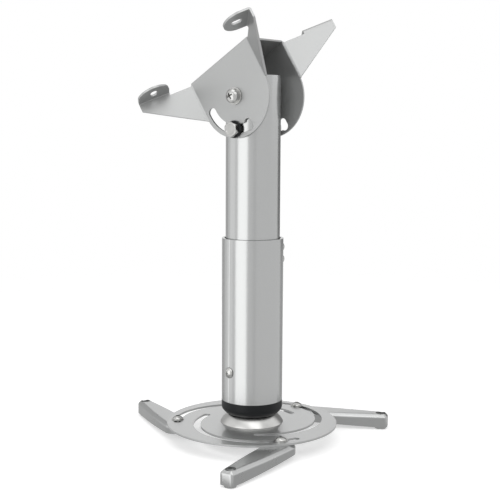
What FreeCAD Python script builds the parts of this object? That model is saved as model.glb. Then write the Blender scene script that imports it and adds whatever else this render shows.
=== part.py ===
# Projector ceiling mount: a three-arm projector plate on a ball joint, a telescopic column and a folded
# sheet bracket that tilts on the column's head. Millimetres, +Z up. The mount stands on the tips of its
# arms, and the origin is the middle of that footprint on the floor.
import FreeCAD, Part
import math
import os
import re
import Sketcher

V = FreeCAD.Vector
X_AXIS = V(1, 0, 0)
Y_AXIS = V(0, 1, 0)
Z_AXIS = V(0, 0, 1)

doc = FreeCAD.newDocument("projector_ceiling_mount")
sizes = doc.addObject("Spreadsheet::Sheet", "sizes")

# Driving dimensions: alias, value, what it is
SIZES = [
    ("column_x", 28.2, "column axis from the origin along X"),
    ("column_y", 7.1, "column axis from the origin along Y"),
    ("plate_radius", 84.0, "projector plate"),
    ("plate_thickness", 2.0, "projector plate sheet"),
    ("plate_edge_fillet", 0.7, "rounded rim of the plate"),
    ("plate_opening", 28.0, "radius of the plate's middle opening"),
    ("slot_width", 6.8, "spiral slots in the plate"),
    ("slot_margin", 6.7, "between a slot's outermost point and the plate's rim"),
    ("slot_offset", 13.0, "from the plate's centre to a slot's centre"),
    ("slot_heading", -20.2, "direction of the third slot's centre"),
    ("slot_start_angle", 186.2, "inner end of the third slot about its own centre"),
    ("slot_sweep", 155.1, "length of a slot in degrees"),
    ("slot_spacing_angle", 120.0, "from one slot to the next"),
    ("arm_length", 88.0, "from an arm's bolt to its tip hole"),
    ("arm_root_radius", 13.5, "rounded end at the bolt"),
    ("arm_tip_width", 14.5, "width at the tip"),
    ("arm_tip_reach", 7.25, "from the tip hole to the arm's end"),
    ("arm_tip_corner", 3.6, "rounded corners of the tip"),
    ("arm_side_radius", 700.0, "gentle bow of an arm's sides"),
    ("arm_root_height", 10.5, "thickness at the bolt"),
    ("arm_tip_height", 13.5, "thickness at the tip, without its foot"),
    ("arm_shoulder", 3.2, "bevel of the top edge"),
    ("foot_height", 16.0, "top of an arm above the floor"),
    ("foot_radius", 5.6, "round foot under the tip"),
    ("tip_hole_radius", 2.4, "hole for a projector screw"),
    ("tip_recess_radius", 5.0, "recess for the screw's head"),
    ("tip_recess_depth", 3.0, "recess for the screw's head"),
    ("arm_one_slot_angle", 147.5, "place of the first arm's bolt along its slot, from the slot's start"),
    ("arm_two_slot_angle", 138.6, "second arm"),
    ("arm_three_slot_angle", 140.2, "third arm"),
    ("arm_one_heading", 153.5, "direction of the first arm"),
    ("arm_two_heading", 25.0, "second arm"),
    ("arm_three_heading", -84.5, "third arm"),
    ("arm_bolt_radius", 3.0, "M6 shank"),
    ("arm_bolt_clearance", 0.08, "running gap of an arm on its bolt"),
    ("arm_bolt_head_radius", 5.25, "button head"),
    ("arm_bolt_head_height", 3.3, "button head"),
    ("arm_bolt_key_width", 4.0, "hexagon socket across its flats"),
    ("arm_bolt_key_depth", 1.8, "hexagon socket"),
    ("arm_washer_radius", 6.2, "washer on the plate"),
    ("arm_washer_thickness", 0.8, "washer on the plate"),
    ("arm_nut_width", 10.0, "M6 nut across its flats, sunk in the arm's underside"),
    ("arm_nut_height", 5.0, "M6 nut"),
    ("arm_nut_room", 0.4, "gap round and under the nut"),
    ("ball_radius", 36.0, "outside of the pressed dome"),
    ("ball_drop", 18.0, "centre of the dome below the plate's top"),
    ("ball_gap", 0.2, "gap between the sliding spherical faces"),
    ("dome_thickness", 1.5, "pressed dome"),
    ("dome_hole_radius", 15.5, "opening at the dome's top, for the tilting bolt"),
    ("liner_thickness", 0.6, "plastic liner on the dome"),
    ("liner_hole_radius", 15.0, "liner's inner edge"),
    ("liner_radius", 22.0, "liner's outer edge"),
    ("cup_thickness", 2.5, "clamp cup under the dome"),
    ("cup_radius", 21.0, "clamp cup's edge"),
    ("cup_boss_radius", 9.0, "seat of the bolt's head in the clamp cup"),
    ("cup_boss_height", 2.3, "seat of the bolt's head below the cup's wall"),
    ("clamp_bolt_radius", 4.0, "M8 shank"),
    ("clamp_bolt_length", 44.0, "M8 bolt under its head"),
    ("clamp_bolt_clearance", 0.4, "gap round the bolt in the cup and the insert"),
    ("hexagon_width", 13.0, "M8 hexagon across its flats"),
    ("hexagon_head_height", 5.3, "M8 bolt head"),
    ("hexagon_nut_height", 6.5, "M8 nut"),
    ("tube_gap", 23.0, "outer tube's end above the plate"),
    ("ring_height", 13.5, "black end ring below the tube"),
    ("ring_chamfer_height", 5.5, "conical end of the ring"),
    ("ring_end_radius", 24.75, "lower edge of the ring"),
    ("ring_spigot_height", 5.0, "part of the ring inside the tube"),
    ("insert_height", 40.0, "metal insert above the ring's spigot"),
    ("insert_gap", 0.1, "insert in the tube"),
    ("insert_web", 6.0, "web of the insert that the springs press on"),
    ("insert_wall", 9.0, "wall of the insert round the springs"),
    ("spring_radius", 10.0, "disc springs"),
    ("spring_thickness", 1.2, "disc springs"),
    ("spring_rise", 0.9, "cone of a disc spring"),
    ("spring_washer_thickness", 1.6, "washers at both ends of the disc springs"),
    ("spring_washer_radius", 11.0, "washers at both ends of the disc springs"),
    ("outer_tube_radius", 30.0, "lower, outer tube"),
    ("outer_tube_wall", 2.5, "lower, outer tube"),
    ("outer_tube_length", 160.0, "lower, outer tube"),
    ("tube_rim_bevel", 0.4, "deburred ends of the outer tube"),
    ("groove_heading", -101.0, "drill line on the outer tube"),
    ("groove_width", 1.2, "drill line on the outer tube"),
    ("groove_depth", 0.5, "drill line on the outer tube"),
    ("insert_screw_height", 30.0, "insert screws above the tube's end"),
    ("insert_screw_radius", 2.5, "M5 shank"),
    ("insert_screw_length", 9.0, "M5 screw under its head"),
    ("insert_screw_head_radius", 5.3, "dome head"),
    ("insert_screw_head_height", 3.4, "dome head"),
    ("insert_cross_width", 1.1, "cross recess, width of a bar"),
    ("insert_cross_length", 5.0, "cross recess, end to end"),
    ("insert_cross_depth", 1.6, "cross recess"),
    ("tube_play", 1.0, "between the two tubes, filled by their plastic guides"),
    ("upper_tube_wall", 2.0, "upper, inner tube"),
    ("telescope_room", 8.0, "from the insert's top to the guide shoe, for the way down"),
    ("upper_tube_exposed", 156.0, "upper tube above the outer one"),
    ("bush_gap", 0.05, "running gap of the telescope's bushes"),
    ("bush_depth", 3.0, "guide bush below the outer tube's rim"),
    ("bush_length", 26.0, "guide bush"),
    ("shoe_length", 22.0, "guide shoe at the upper tube's lower end"),
    ("shoe_lip", 3.0, "guide shoe's lip under the tube's end"),
    ("lock_screw_heading", 60.0, "height lock screws, at the back"),
    ("lock_screw_depth", 22.0, "lower lock screw below the tube's rim"),
    ("lock_screw_pitch", 12.0, "between the lock screws"),
    ("lock_screw_radius", 3.0, "M6 shank"),
    ("lock_screw_head_radius", 5.25, "pan head"),
    ("lock_screw_head_height", 3.6, "pan head"),
    ("lock_cross_width", 1.2, "cross recess, width of a bar"),
    ("lock_cross_length", 5.4, "cross recess, end to end"),
    ("lock_cross_depth", 1.8, "cross recess"),
    ("lock_screw_tip_gap", 0.15, "screw's end from the upper tube"),
    ("pivot_depth", 20.0, "tilt pivot below the upper tube's upper end"),
    ("tilt_angle", 32.0, "bracket's tilt as it stands"),
    ("sheet_thickness", 2.0, "folded bracket"),
    ("cheek_gap", 0.5, "cheek's inner face from the upper tube"),
    ("cheek_radius", 39.5, "round end of a cheek"),
    ("bracket_half_length", 39.5, "from the pivot to the ear folds"),
    ("web_height", 39.5, "web's top face above the pivot"),
    ("web_bend_radius", 3.0, "outside of the folds along the web"),
    ("web_hole_along", 27.0, "web hole from the pivot"),
    ("web_hole_radius", 3.0, "web hole"),
    ("ear_angle", 45.0, "ears' turn out from the cheeks"),
    ("ear_length", 54.0, "along an ear"),
    ("ear_root_top", 37.0, "ear's upper edge above the pivot"),
    ("ear_root_bottom", -3.0, "ear's lower corner at its fold"),
    ("ear_tip_bottom", 31.0, "ear's lower corner at its tip"),
    ("tab_start", 22.5, "tab's first corner along the ear"),
    ("tab_top", 41.0, "tab's ceiling face above the pivot"),
    ("tab_reach", 24.0, "tab from the ear's face to its round end"),
    ("tab_hole_reach", 11.5, "middle of the oblong hole from the ear"),
    ("tab_hole_width", 7.0, "oblong hole"),
    ("tab_hole_length", 10.5, "oblong hole, along the tab"),
    ("tilt_slot_radius", 31.0, "arc slot and clamp bolt from the pivot"),
    ("tilt_slot_width", 8.8, "arc slot"),
    ("tilt_slot_sweep", 92.0, "arc slot, from straight below the web's middle"),
    ("slot_lobe_height", 12.5, "enlarged end of the arc slot, along the radius"),
    ("pivot_bolt_radius", 4.0, "M8 shank"),
    ("pivot_clearance", 0.08, "running gap of the bracket on its pivot bolt"),
    ("pivot_head_radius", 6.6, "cross recess pan head"),
    ("pivot_head_height", 5.2, "cross recess pan head"),
    ("pivot_cross_width", 1.6, "cross recess, width of a bar"),
    ("pivot_cross_length", 7.5, "cross recess, end to end"),
    ("pivot_cross_depth", 2.6, "cross recess"),
    ("pivot_washer_radius", 8.2, "flat washers on the cheeks"),
    ("pivot_washer_thickness", 1.6, "flat washers on the cheeks"),
    ("lock_washer_radius", 6.8, "spring lock washer"),
    ("lock_washer_thickness", 2.0, "spring lock washer"),
    ("lock_washer_split", 1.2, "spring lock washer's split"),
    ("tilt_washer_radius", 8.2, "black washers of the tilt clamp bolt"),
    ("tilt_washer_thickness", 2.2, "black washers of the tilt clamp bolt"),
    ("bolt_end_stand", 2.5, "bolt's end beyond its nut"),
    ("thread_gap", 0.05, "nut on its bolt"),
    ("bolt_hole_gap", 0.25, "bolt in a plain hole of the upper tube"),
]
for row, (alias, value, note) in enumerate(SIZES, 1):
    sizes.set(f"A{row}", note)
    sizes.set(f"B{row}", str(value))
    sizes.setAlias(f"B{row}", alias)
doc.recompute()

# Heights and distances worked out from the driving dimensions
PLATE_TOP = "(foot_height + plate_thickness)"
BALL_Z = f"({PLATE_TOP} - ball_drop)"
TUBE_BOTTOM = f"({PLATE_TOP} + tube_gap)"
TUBE_TOP = f"({TUBE_BOTTOM} + outer_tube_length)"
SEAT_RADIUS = "(ball_radius + liner_thickness + 2 * ball_gap)"
CUP_OUTSIDE = "(ball_radius - dome_thickness - ball_gap)"
HEAD_SEAT = f"({BALL_Z} + {CUP_OUTSIDE} - cup_thickness - cup_boss_height)"
INSERT_BOTTOM = f"({TUBE_BOTTOM} + ring_spigot_height)"
SPRING_SEAT = f"({INSERT_BOTTOM} + insert_web)"
UPPER_BOTTOM = f"({INSERT_BOTTOM} + insert_height + telescope_room + shoe_lip)"
UPPER_TOP = f"({TUBE_TOP} + upper_tube_exposed)"
UPPER_LENGTH = f"({UPPER_TOP} - {UPPER_BOTTOM})"
PIVOT_Z = f"({UPPER_TOP} - pivot_depth)"
UPPER_RADIUS = "(outer_tube_radius - outer_tube_wall - tube_play)"
SLOT_RADIUS = "(plate_radius - slot_offset - slot_width / 2 - slot_margin)"
CHEEK_INSIDE = f"({UPPER_RADIUS} + cheek_gap)"
CHEEK_OUTSIDE = f"({CHEEK_INSIDE} + sheet_thickness)"
DISC_COUNT = 4

parts = {}


def size(alias):
    """The present value of one driving dimension."""
    return float(sizes.get(alias))


def formula(text):
    """An expression whose alias words point at the sheet."""
    return re.sub(r"\b([a-z]+(?:_[a-z]+)+)\b", r"sizes.\1", str(text))


def bind(item, **settings):
    """Bind properties to formulas. Two underscores in a keyword stand for a point."""
    for path, text in settings.items():
        item.setExpression(path.replace("__", "."), formula(text))
    return item


def place(item, x="0", y="0", z="0", axis=None, turn=None):
    """Bind an item's place, and its turn about an axis where it has one."""
    if axis is not None:
        item.Placement = FreeCAD.Placement(V(), FreeCAD.Rotation(axis, 30))
        bind(item, Placement__Rotation__Angle=turn)
    return bind(item, Placement__Base__x=x, Placement__Base__y=y, Placement__Base__z=z)


def on_column(item, z, turn="0"):
    """Stand an item that was made about Z on the column's axis."""
    return place(item, "column_x", "column_y", z, Z_AXIS, turn)


def cylinder(name, radius, height, x="0", y="0", z="0"):
    item = doc.addObject("Part::Cylinder", name)
    bind(item, Radius=radius, Height=height)
    return place(item, x, y, z)


def sector(name, radius, height, start, sweep, z="0"):
    """A pie slice about Z, from one angle over a sweep."""
    item = doc.addObject("Part::Cylinder", name)
    bind(item, Radius=radius, Height=height, Angle=sweep)
    return place(item, z=z, axis=Z_AXIS, turn=start)


def box(name, length, width, height, x="0", y="0", z="0"):
    item = doc.addObject("Part::Box", name)
    bind(item, Length=length, Width=width, Height=height)
    return place(item, x, y, z)


def ball(name, radius, z="0"):
    item = doc.addObject("Part::Sphere", name)
    bind(item, Radius=radius)
    return place(item, z=z)


def hexagon(name, width, height, z="0"):
    """A hexagonal prism about Z, sized across its flats."""
    item = doc.addObject("Part::Prism", name)
    item.Polygon = 6
    bind(item, Circumradius=f"{width} / sqrt(3)", Height=height)
    return place(item, z=z)


def fuse(name, *items):
    item = doc.addObject("Part::MultiFuse", name)
    item.Shapes = list(items)
    item.Refine = True
    return item


def common(name, *items):
    item = doc.addObject("Part::MultiCommon", name)
    item.Shapes = list(items)
    return item


def cut(name, base, *tools):
    """The base with every tool taken away."""
    item = doc.addObject("Part::Cut", name)
    item.Base = base
    item.Tool = tools[0] if len(tools) == 1 else fuse(f"{name}_tools", *tools)
    return item


def group(name, *items):
    item = doc.addObject("Part::Compound", name)
    item.Links = list(items)
    return item


def keep(label, item):
    """Name an item as a finished sub-part."""
    item.Label = label
    parts[label] = item
    return item


def polygon(name, corners):
    """A sketch on its own XY plane whose corners are pairs of formulas."""
    sketch = doc.addObject("Sketcher::SketchObject", name)
    guess = [V(i % 2 + i, i * i - 2 * i, 0) for i in range(len(corners))]
    count = len(corners)
    for i in range(count):
        sketch.addGeometry(Part.LineSegment(guess[i], guess[(i + 1) % count]), False)
    for i in range(count):
        sketch.addConstraint(Sketcher.Constraint("Coincident", i, 2, (i + 1) % count, 1))
    for i, (across, up) in enumerate(corners):
        for kind, text in (("DistanceX", across), ("DistanceY", up)):
            index = sketch.addConstraint(Sketcher.Constraint(kind, -1, 1, i, 1, 1.0))
            sketch.setExpression(f"Constraints[{index}]", formula(text))
    return sketch


def extrusion(name, sketch, length, direction):
    """A sketch pushed out along a direction."""
    item = doc.addObject("Part::Extrusion", name)
    item.Base = sketch
    item.DirMode = "Custom"
    item.Dir = direction
    item.Solid = True
    bind(item, LengthFwd=length)
    return item


def turned(name, corners):
    """A closed profile of radius and height pairs, turned about Z."""
    sketch = polygon(f"{name}_profile", corners)
    sketch.Placement = FreeCAD.Placement(V(), FreeCAD.Rotation(X_AXIS, 90))
    item = doc.addObject("Part::Revolution", name)
    item.Source = sketch
    item.Axis = Z_AXIS
    item.Angle = 360
    item.Solid = True
    return item


def washer(name, bore, radius, thickness, z="0"):
    disc = cylinder(f"{name}_disc", radius, thickness, z=z)
    hole = cylinder(f"{name}_hole", bore, f"{thickness} + 2", z=f"{z} - 1")
    return cut(name, disc, hole)


def dome(name, radius, height, z="0"):
    """A spherical cap that stands on z."""
    reach = f"(({radius})^2 + ({height})^2) / (2 * {height})"
    whole = ball(f"{name}_ball", reach, z=f"{z} + {height} - {reach}")
    rim = cylinder(f"{name}_rim", radius, height, z=z)
    return common(name, whole, rim)


def shell_cap(name, outside, thickness, edge, base, height):
    """Part of a spherical shell about Z, inside one radius and above one height."""
    outer = ball(f"{name}_outer", outside, z=base)
    inner = ball(f"{name}_inner", f"{outside} - {thickness}", z=base)
    reach = cylinder(f"{name}_reach", edge, outside, z=height)
    return common(name, cut(f"{name}_wall", outer, inner), reach)


def edged(kind, name, base, alias, wanted):
    """Fillet or chamfer the edges of a finished base that the test picks."""
    doc.recompute()
    width = size(alias)
    item = doc.addObject(kind, name)
    item.Base = base
    item.Edges = [(i, width, width) for i, edge in enumerate(base.Shape.Edges, 1) if wanted(edge)]
    return item


def flat_at(edge, height):
    """True for an edge that lies whole at one height."""
    bounds = edge.BoundBox
    return abs(bounds.ZMin - height) < 0.001 and abs(bounds.ZMax - height) < 0.001


def slot_turn(index):
    """How far slot 1, 2 or 3 is turned back from the third one."""
    return f"({-index % 3} * slot_spacing_angle)"


def slot_centre(index):
    """X and Y of a slot's centre from the plate's."""
    heading = f"(slot_heading + {slot_turn(index)})"
    return f"slot_offset * cos({heading})", f"slot_offset * sin({heading})"


def slot_cutter(index):
    """One spiral slot: an arc about its own centre, off the plate's, with round ends."""
    tall = "plate_thickness + 2"
    band = cut(
        f"slot_band_{index}",
        sector(f"slot_wedge_{index}", f"{SLOT_RADIUS} + slot_width / 2", tall, "0", "slot_sweep"),
        cylinder(f"slot_core_{index}", f"{SLOT_RADIUS} - slot_width / 2", tall),
    )
    inner = cylinder(f"slot_inner_{index}", "slot_width / 2", tall, SLOT_RADIUS)
    outer = cylinder(
        f"slot_outer_{index}",
        "slot_width / 2",
        tall,
        f"{SLOT_RADIUS} * cos(slot_sweep)",
        f"{SLOT_RADIUS} * sin(slot_sweep)",
    )
    cutter = fuse(f"slot_{index}", band, inner, outer)
    across, along = slot_centre(index)
    turn = f"slot_start_angle + {slot_turn(index)}"
    return place(cutter, across, along, "-1", Z_AXIS, turn)


def projector_plate():
    """Round sheet with three spiral slots and an opening under the ball joint."""
    disc = cylinder("plate_disc", "plate_radius", "plate_thickness")
    rim = edged("Part::Fillet", "plate_rim", disc, "plate_edge_fillet", lambda edge: len(edge.Vertexes) == 1)
    opening = cylinder("plate_opening_cutter", "plate_opening", "plate_thickness + 2", z="-1")
    cutters = [slot_cutter(index) for index in (1, 2, 3)]
    keep("projector_plate", on_column(cut("plate", rim, opening, *cutters), "foot_height"))


def ball_dome():
    """Pressed dome on the plate. Its spherical face carries the column."""
    cap = shell_cap("dome", "ball_radius", "dome_thickness", "ball_radius", "-ball_drop", "0")
    hole = cylinder("dome_hole", "dome_hole_radius", "ball_radius")
    keep("ball_dome", on_column(cut("dome_cap", cap, hole), PLATE_TOP))


def ball_liner():
    """Thin plastic ring between the dome and the end ring."""
    outside = "(ball_radius + ball_gap + liner_thickness)"
    cap = shell_cap("liner", outside, "liner_thickness", "liner_radius", "0", "0")
    hole = cylinder("liner_hole", "liner_hole_radius", "2 * ball_radius")
    keep("ball_liner", on_column(cut("liner_ring", cap, hole), BALL_Z))


def clamp_cup():
    """Spherical cup under the dome with a flat seat for the clamp bolt's head."""
    outer = ball("cup_outer", CUP_OUTSIDE)
    boss = cylinder("cup_boss", "cup_boss_radius", "ball_radius", z=f"{HEAD_SEAT} - {BALL_Z}")
    hollow = cut("cup_hollow", ball("cup_inner", f"{CUP_OUTSIDE} - cup_thickness"), boss)
    reach = cylinder("cup_reach", "cup_radius", "2 * ball_radius")
    cap = common("cup_cap", cut("cup_wall", outer, hollow), reach)
    hole = cylinder("cup_hole", "clamp_bolt_radius + clamp_bolt_clearance", "2 * ball_radius")
    keep("clamp_cup", on_column(cut("cup", cap, hole), BALL_Z))


def clamp_bolt():
    """Hexagon bolt that pulls the cup and the column together on the dome."""
    head = hexagon("clamp_head", "hexagon_width", "hexagon_head_height", z="-hexagon_head_height")
    shank = cylinder("clamp_shank", "clamp_bolt_radius", "clamp_bolt_length")
    keep("clamp_bolt", on_column(fuse("clamp_bolt_solid", head, shank), HEAD_SEAT))


def spring_washers():
    """Flat washers under and over the disc springs."""
    stack = f"(spring_washer_thickness + {DISC_COUNT} * (spring_thickness + spring_rise))"
    bore = "clamp_bolt_radius + thread_gap"
    low = washer("spring_washer_low", bore, "spring_washer_radius", "spring_washer_thickness")
    high = washer(
        "spring_washer_high", bore, "spring_washer_radius", "spring_washer_thickness", z=stack
    )
    keep("spring_washers", on_column(group("spring_washer_pair", low, high), SPRING_SEAT))


def disc_springs():
    """Conical discs stacked face to face, every second one turned over."""
    bore = "(clamp_bolt_radius + bolt_hole_gap)"
    step = "(spring_thickness + spring_rise)"
    discs = []
    for index in range(DISC_COUNT):
        low, high = ("0", "spring_rise") if index % 2 == 0 else ("spring_rise", "0")
        base = f"{index} * {step}"
        corners = [
            (bore, f"{base} + {high}"),
            ("spring_radius", f"{base} + {low}"),
            ("spring_radius", f"{base} + {low} + spring_thickness"),
            (bore, f"{base} + {high} + spring_thickness"),
        ]
        discs.append(turned(f"disc_spring_{index}", corners))
    stack = group("disc_stack", *discs)
    keep("disc_springs", on_column(stack, f"{SPRING_SEAT} + spring_washer_thickness"))


def hexagon_nut(name, width, height, bolt_radius):
    """A plain nut about Z that stands on zero."""
    bore = cylinder(f"{name}_bore", f"{bolt_radius} + thread_gap", f"{height} + 2", z="-1")
    return cut(name, hexagon(f"{name}_hexagon", width, height), bore)


def clamp_nut():
    """Nut on the disc springs."""
    nut = hexagon_nut("clamp_nut_solid", "hexagon_width", "hexagon_nut_height", "clamp_bolt_radius")
    stack = f"(2 * spring_washer_thickness + {DISC_COUNT} * (spring_thickness + spring_rise))"
    keep("clamp_nut", on_column(nut, f"{SPRING_SEAT} + {stack}"))


def end_ring():
    """Black ring under the outer tube, hollowed to sit on the dome."""
    skirt = "-ring_height"
    spigot = "(outer_tube_radius - outer_tube_wall - insert_gap)"
    blank = turned(
        "ring_blank",
        [
            ("clamp_bolt_radius + clamp_bolt_clearance", skirt),
            ("ring_end_radius", skirt),
            ("outer_tube_radius", f"{skirt} + ring_chamfer_height"),
            ("outer_tube_radius", "0"),
            (spigot, "0"),
            (spigot, "ring_spigot_height"),
            ("clamp_bolt_radius + clamp_bolt_clearance", "ring_spigot_height"),
        ],
    )
    seat = ball("ring_seat", SEAT_RADIUS, z=f"{BALL_Z} - {TUBE_BOTTOM}")
    keep("end_ring", on_column(cut("ring", blank, seat), TUBE_BOTTOM))


def radial_hole(name, radius, length, height, heading):
    """A cylinder from the axis outwards, for holes and screws."""
    item = doc.addObject("Part::Cylinder", name)
    bind(item, Radius=radius, Height=length)
    item.Placement = FreeCAD.Placement(V(), FreeCAD.Rotation(Y_AXIS, 90))
    arm = group(f"{name}_turned", item)
    return place(arm, z=height, axis=Z_AXIS, turn=heading)


def insert_headings():
    """The insert's two screws stand opposite each other."""
    return ["groove_heading", "groove_heading + 180"]


def column_insert():
    """Metal cup in the tube's end that takes the springs and the two screws."""
    outside = "(outer_tube_radius - outer_tube_wall - insert_gap)"
    blank = turned(
        "insert_blank",
        [
            ("clamp_bolt_radius + clamp_bolt_clearance", "0"),
            (outside, "0"),
            (outside, "insert_height"),
            (f"{outside} - insert_wall", "insert_height"),
            (f"{outside} - insert_wall", "insert_web"),
            ("clamp_bolt_radius + clamp_bolt_clearance", "insert_web"),
        ],
    )
    height = "insert_screw_height - ring_spigot_height"
    holes = [
        radial_hole(
            f"insert_hole_{index}", "insert_screw_radius + thread_gap", "outer_tube_radius", height, heading
        )
        for index, heading in enumerate(insert_headings())
    ]
    keep("column_insert", on_column(cut("insert", blank, *holes), INSERT_BOTTOM))


def screw(name, shank_radius, shank_length, head_radius, head_height):
    """A dome-headed screw about Z. Its head stands on zero and its shank points down."""
    head = dome(f"{name}_head", head_radius, head_height)
    shank = cylinder(f"{name}_shank", shank_radius, shank_length, z=f"-({shank_length})")
    return fuse(name, head, shank)


def driver_cross(name, recess, top):
    """Two crossed bars that cut a cross recess, sized by the recess's own values."""
    width, reach, depth = f"{recess}_width", f"{recess}_length", f"{recess}_depth"
    bars = []
    for index, (long_side, short_side) in enumerate(((reach, width), (width, reach))):
        bar = box(
            f"{name}_bar_{index}",
            long_side,
            short_side,
            f"{depth} + 1",
            f"-({long_side}) / 2",
            f"-({short_side}) / 2",
            f"{top} - {depth}",
        )
        bars.append(bar)
    return fuse(name, *bars)


def outward(name, item, reach, height, heading):
    """Turn an item from Z to a heading out of the column, at a reach and a height."""
    item.Placement = FreeCAD.Placement(V(), FreeCAD.Rotation(Y_AXIS, 90))
    bind(item, Placement__Base__x=reach)
    return place(group(name, item), z=height, axis=Z_AXIS, turn=heading)


def insert_screws():
    """Two dome-headed screws through the outer tube into the insert."""
    screws = []
    for index, heading in enumerate(insert_headings()):
        blank = screw(
            f"insert_screw_{index}",
            "insert_screw_radius",
            "insert_screw_length",
            "insert_screw_head_radius",
            "insert_screw_head_height",
        )
        cross = driver_cross(f"insert_cross_{index}", "insert_cross", "insert_screw_head_height")
        finished = cut(f"insert_screw_{index}_cut", blank, cross)
        name = f"insert_screw_{index}_out"
        screws.append(outward(name, finished, "outer_tube_radius", "insert_screw_height", heading))
    keep("insert_screws", on_column(group("insert_screw_pair", *screws), TUBE_BOTTOM))


def lock_heights():
    """The height lock screws, one above the other near the tube's rim."""
    low = "(outer_tube_length - lock_screw_depth)"
    return [low, f"({low} + lock_screw_pitch)"]


def outer_tube():
    """Lower tube with its drill line and the holes for its screws."""
    tube = turned(
        "outer_tube_blank",
        [
            ("outer_tube_radius - outer_tube_wall", "0"),
            ("outer_tube_radius - tube_rim_bevel", "0"),
            ("outer_tube_radius", "tube_rim_bevel"),
            ("outer_tube_radius", "outer_tube_length - tube_rim_bevel"),
            ("outer_tube_radius - tube_rim_bevel", "outer_tube_length"),
            ("outer_tube_radius - outer_tube_wall", "outer_tube_length"),
        ],
    )
    groove = box(
        "drill_line",
        "groove_depth + 2",
        "groove_width",
        "outer_tube_length + 2",
        "outer_tube_radius - groove_depth",
        "-groove_width / 2",
        "-1",
    )
    turned_groove = place(group("drill_line_turned", groove), axis=Z_AXIS, turn="groove_heading")
    cutters = [turned_groove]
    for index, heading in enumerate(insert_headings()):
        radius = "insert_screw_radius + bolt_hole_gap"
        name = f"tube_insert_hole_{index}"
        cutters.append(radial_hole(name, radius, "outer_tube_radius + 5", "insert_screw_height", heading))
    for index, height in enumerate(lock_heights()):
        radius = "lock_screw_radius + thread_gap"
        name = f"tube_lock_hole_{index}"
        cutters.append(radial_hole(name, radius, "outer_tube_radius + 5", height, "lock_screw_heading"))
    keep("outer_tube", on_column(cut("tube", tube, *cutters), TUBE_BOTTOM))


def guide_bush():
    """Plastic sleeve in the outer tube's mouth that the upper tube slides in."""
    bore = f"({UPPER_RADIUS} + bush_gap)"
    outside = "(outer_tube_radius - outer_tube_wall - insert_gap)"
    sleeve = turned(
        "bush_blank",
        [(bore, "0"), (outside, "0"), (outside, "bush_length"), (bore, "bush_length")],
    )
    base = "(outer_tube_length - bush_depth - bush_length)"
    holes = [
        radial_hole(
            f"bush_hole_{index}",
            "lock_screw_radius + bolt_hole_gap",
            "outer_tube_radius",
            f"{height} - {base}",
            "lock_screw_heading",
        )
        for index, height in enumerate(lock_heights())
    ]
    keep("guide_bush", on_column(cut("bush", sleeve, *holes), f"{TUBE_BOTTOM} + {base}"))


def height_lock_screws():
    """Two screws at the back that clamp the upper tube at its height."""
    length = f"(outer_tube_radius - {UPPER_RADIUS} - lock_screw_tip_gap)"
    screws = []
    for index, height in enumerate(lock_heights()):
        blank = screw(
            f"lock_screw_{index}",
            "lock_screw_radius",
            length,
            "lock_screw_head_radius",
            "lock_screw_head_height",
        )
        cross = driver_cross(f"lock_cross_{index}", "lock_cross", "lock_screw_head_height")
        finished = cut(f"lock_screw_{index}_cut", blank, cross)
        name = f"lock_screw_{index}_out"
        screws.append(outward(name, finished, "outer_tube_radius", height, "lock_screw_heading"))
    keep("height_lock_screws", on_column(group("lock_screw_pair", *screws), TUBE_BOTTOM))


def along_y(name, radius, half_length, height):
    """A cylinder along Y, centred on the axis at a height."""
    item = doc.addObject("Part::Cylinder", name)
    bind(item, Radius=radius, Height=f"2 * ({half_length})")
    item.Placement = FreeCAD.Placement(V(), FreeCAD.Rotation(X_AXIS, -90))
    return bind(item, Placement__Base__y=f"-({half_length})", Placement__Base__z=height)


def upper_tube():
    """Upper tube with the cross holes for the pivot bolt and the tilt clamp bolt."""
    bore = f"({UPPER_RADIUS} - upper_tube_wall)"
    tube = turned(
        "upper_tube_blank",
        [
            (bore, "0"),
            (UPPER_RADIUS, "0"),
            (UPPER_RADIUS, UPPER_LENGTH),
            (bore, UPPER_LENGTH),
        ],
    )
    holes = []
    for index, height in enumerate((PIVOT_Z, f"({PIVOT_Z} - tilt_slot_radius)")):
        hole = along_y(
            f"upper_tube_hole_{index}",
            "pivot_bolt_radius + bolt_hole_gap",
            f"{UPPER_RADIUS} + 5",
            f"{height} - {UPPER_BOTTOM}",
        )
        holes.append(hole)
    keep("upper_tube", on_column(cut("upper", tube, *holes), UPPER_BOTTOM))


def guide_shoe():
    """Plastic shoe on the upper tube's lower end that slides in the outer tube."""
    bore = f"({UPPER_RADIUS} - upper_tube_wall)"
    outside = "(outer_tube_radius - outer_tube_wall - bush_gap)"
    shoe = turned(
        "shoe_blank",
        [
            (bore, "-shoe_lip"),
            (outside, "-shoe_lip"),
            (outside, "shoe_length"),
            (UPPER_RADIUS, "shoe_length"),
            (UPPER_RADIUS, "0"),
            (bore, "0"),
        ],
    )
    keep("guide_shoe", on_column(shoe, UPPER_BOTTOM))


ARMS = ("one", "two", "three")


def slot_place(index, name):
    """X and Y of an arm's bolt from the column's axis, on the middle line of its slot."""
    across, along = slot_centre(index)
    angle = f"(slot_start_angle + {slot_turn(index)} + arm_{name}_slot_angle)"
    return f"({across} + {SLOT_RADIUS} * cos({angle}))", f"({along} + {SLOT_RADIUS} * sin({angle}))"


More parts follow.
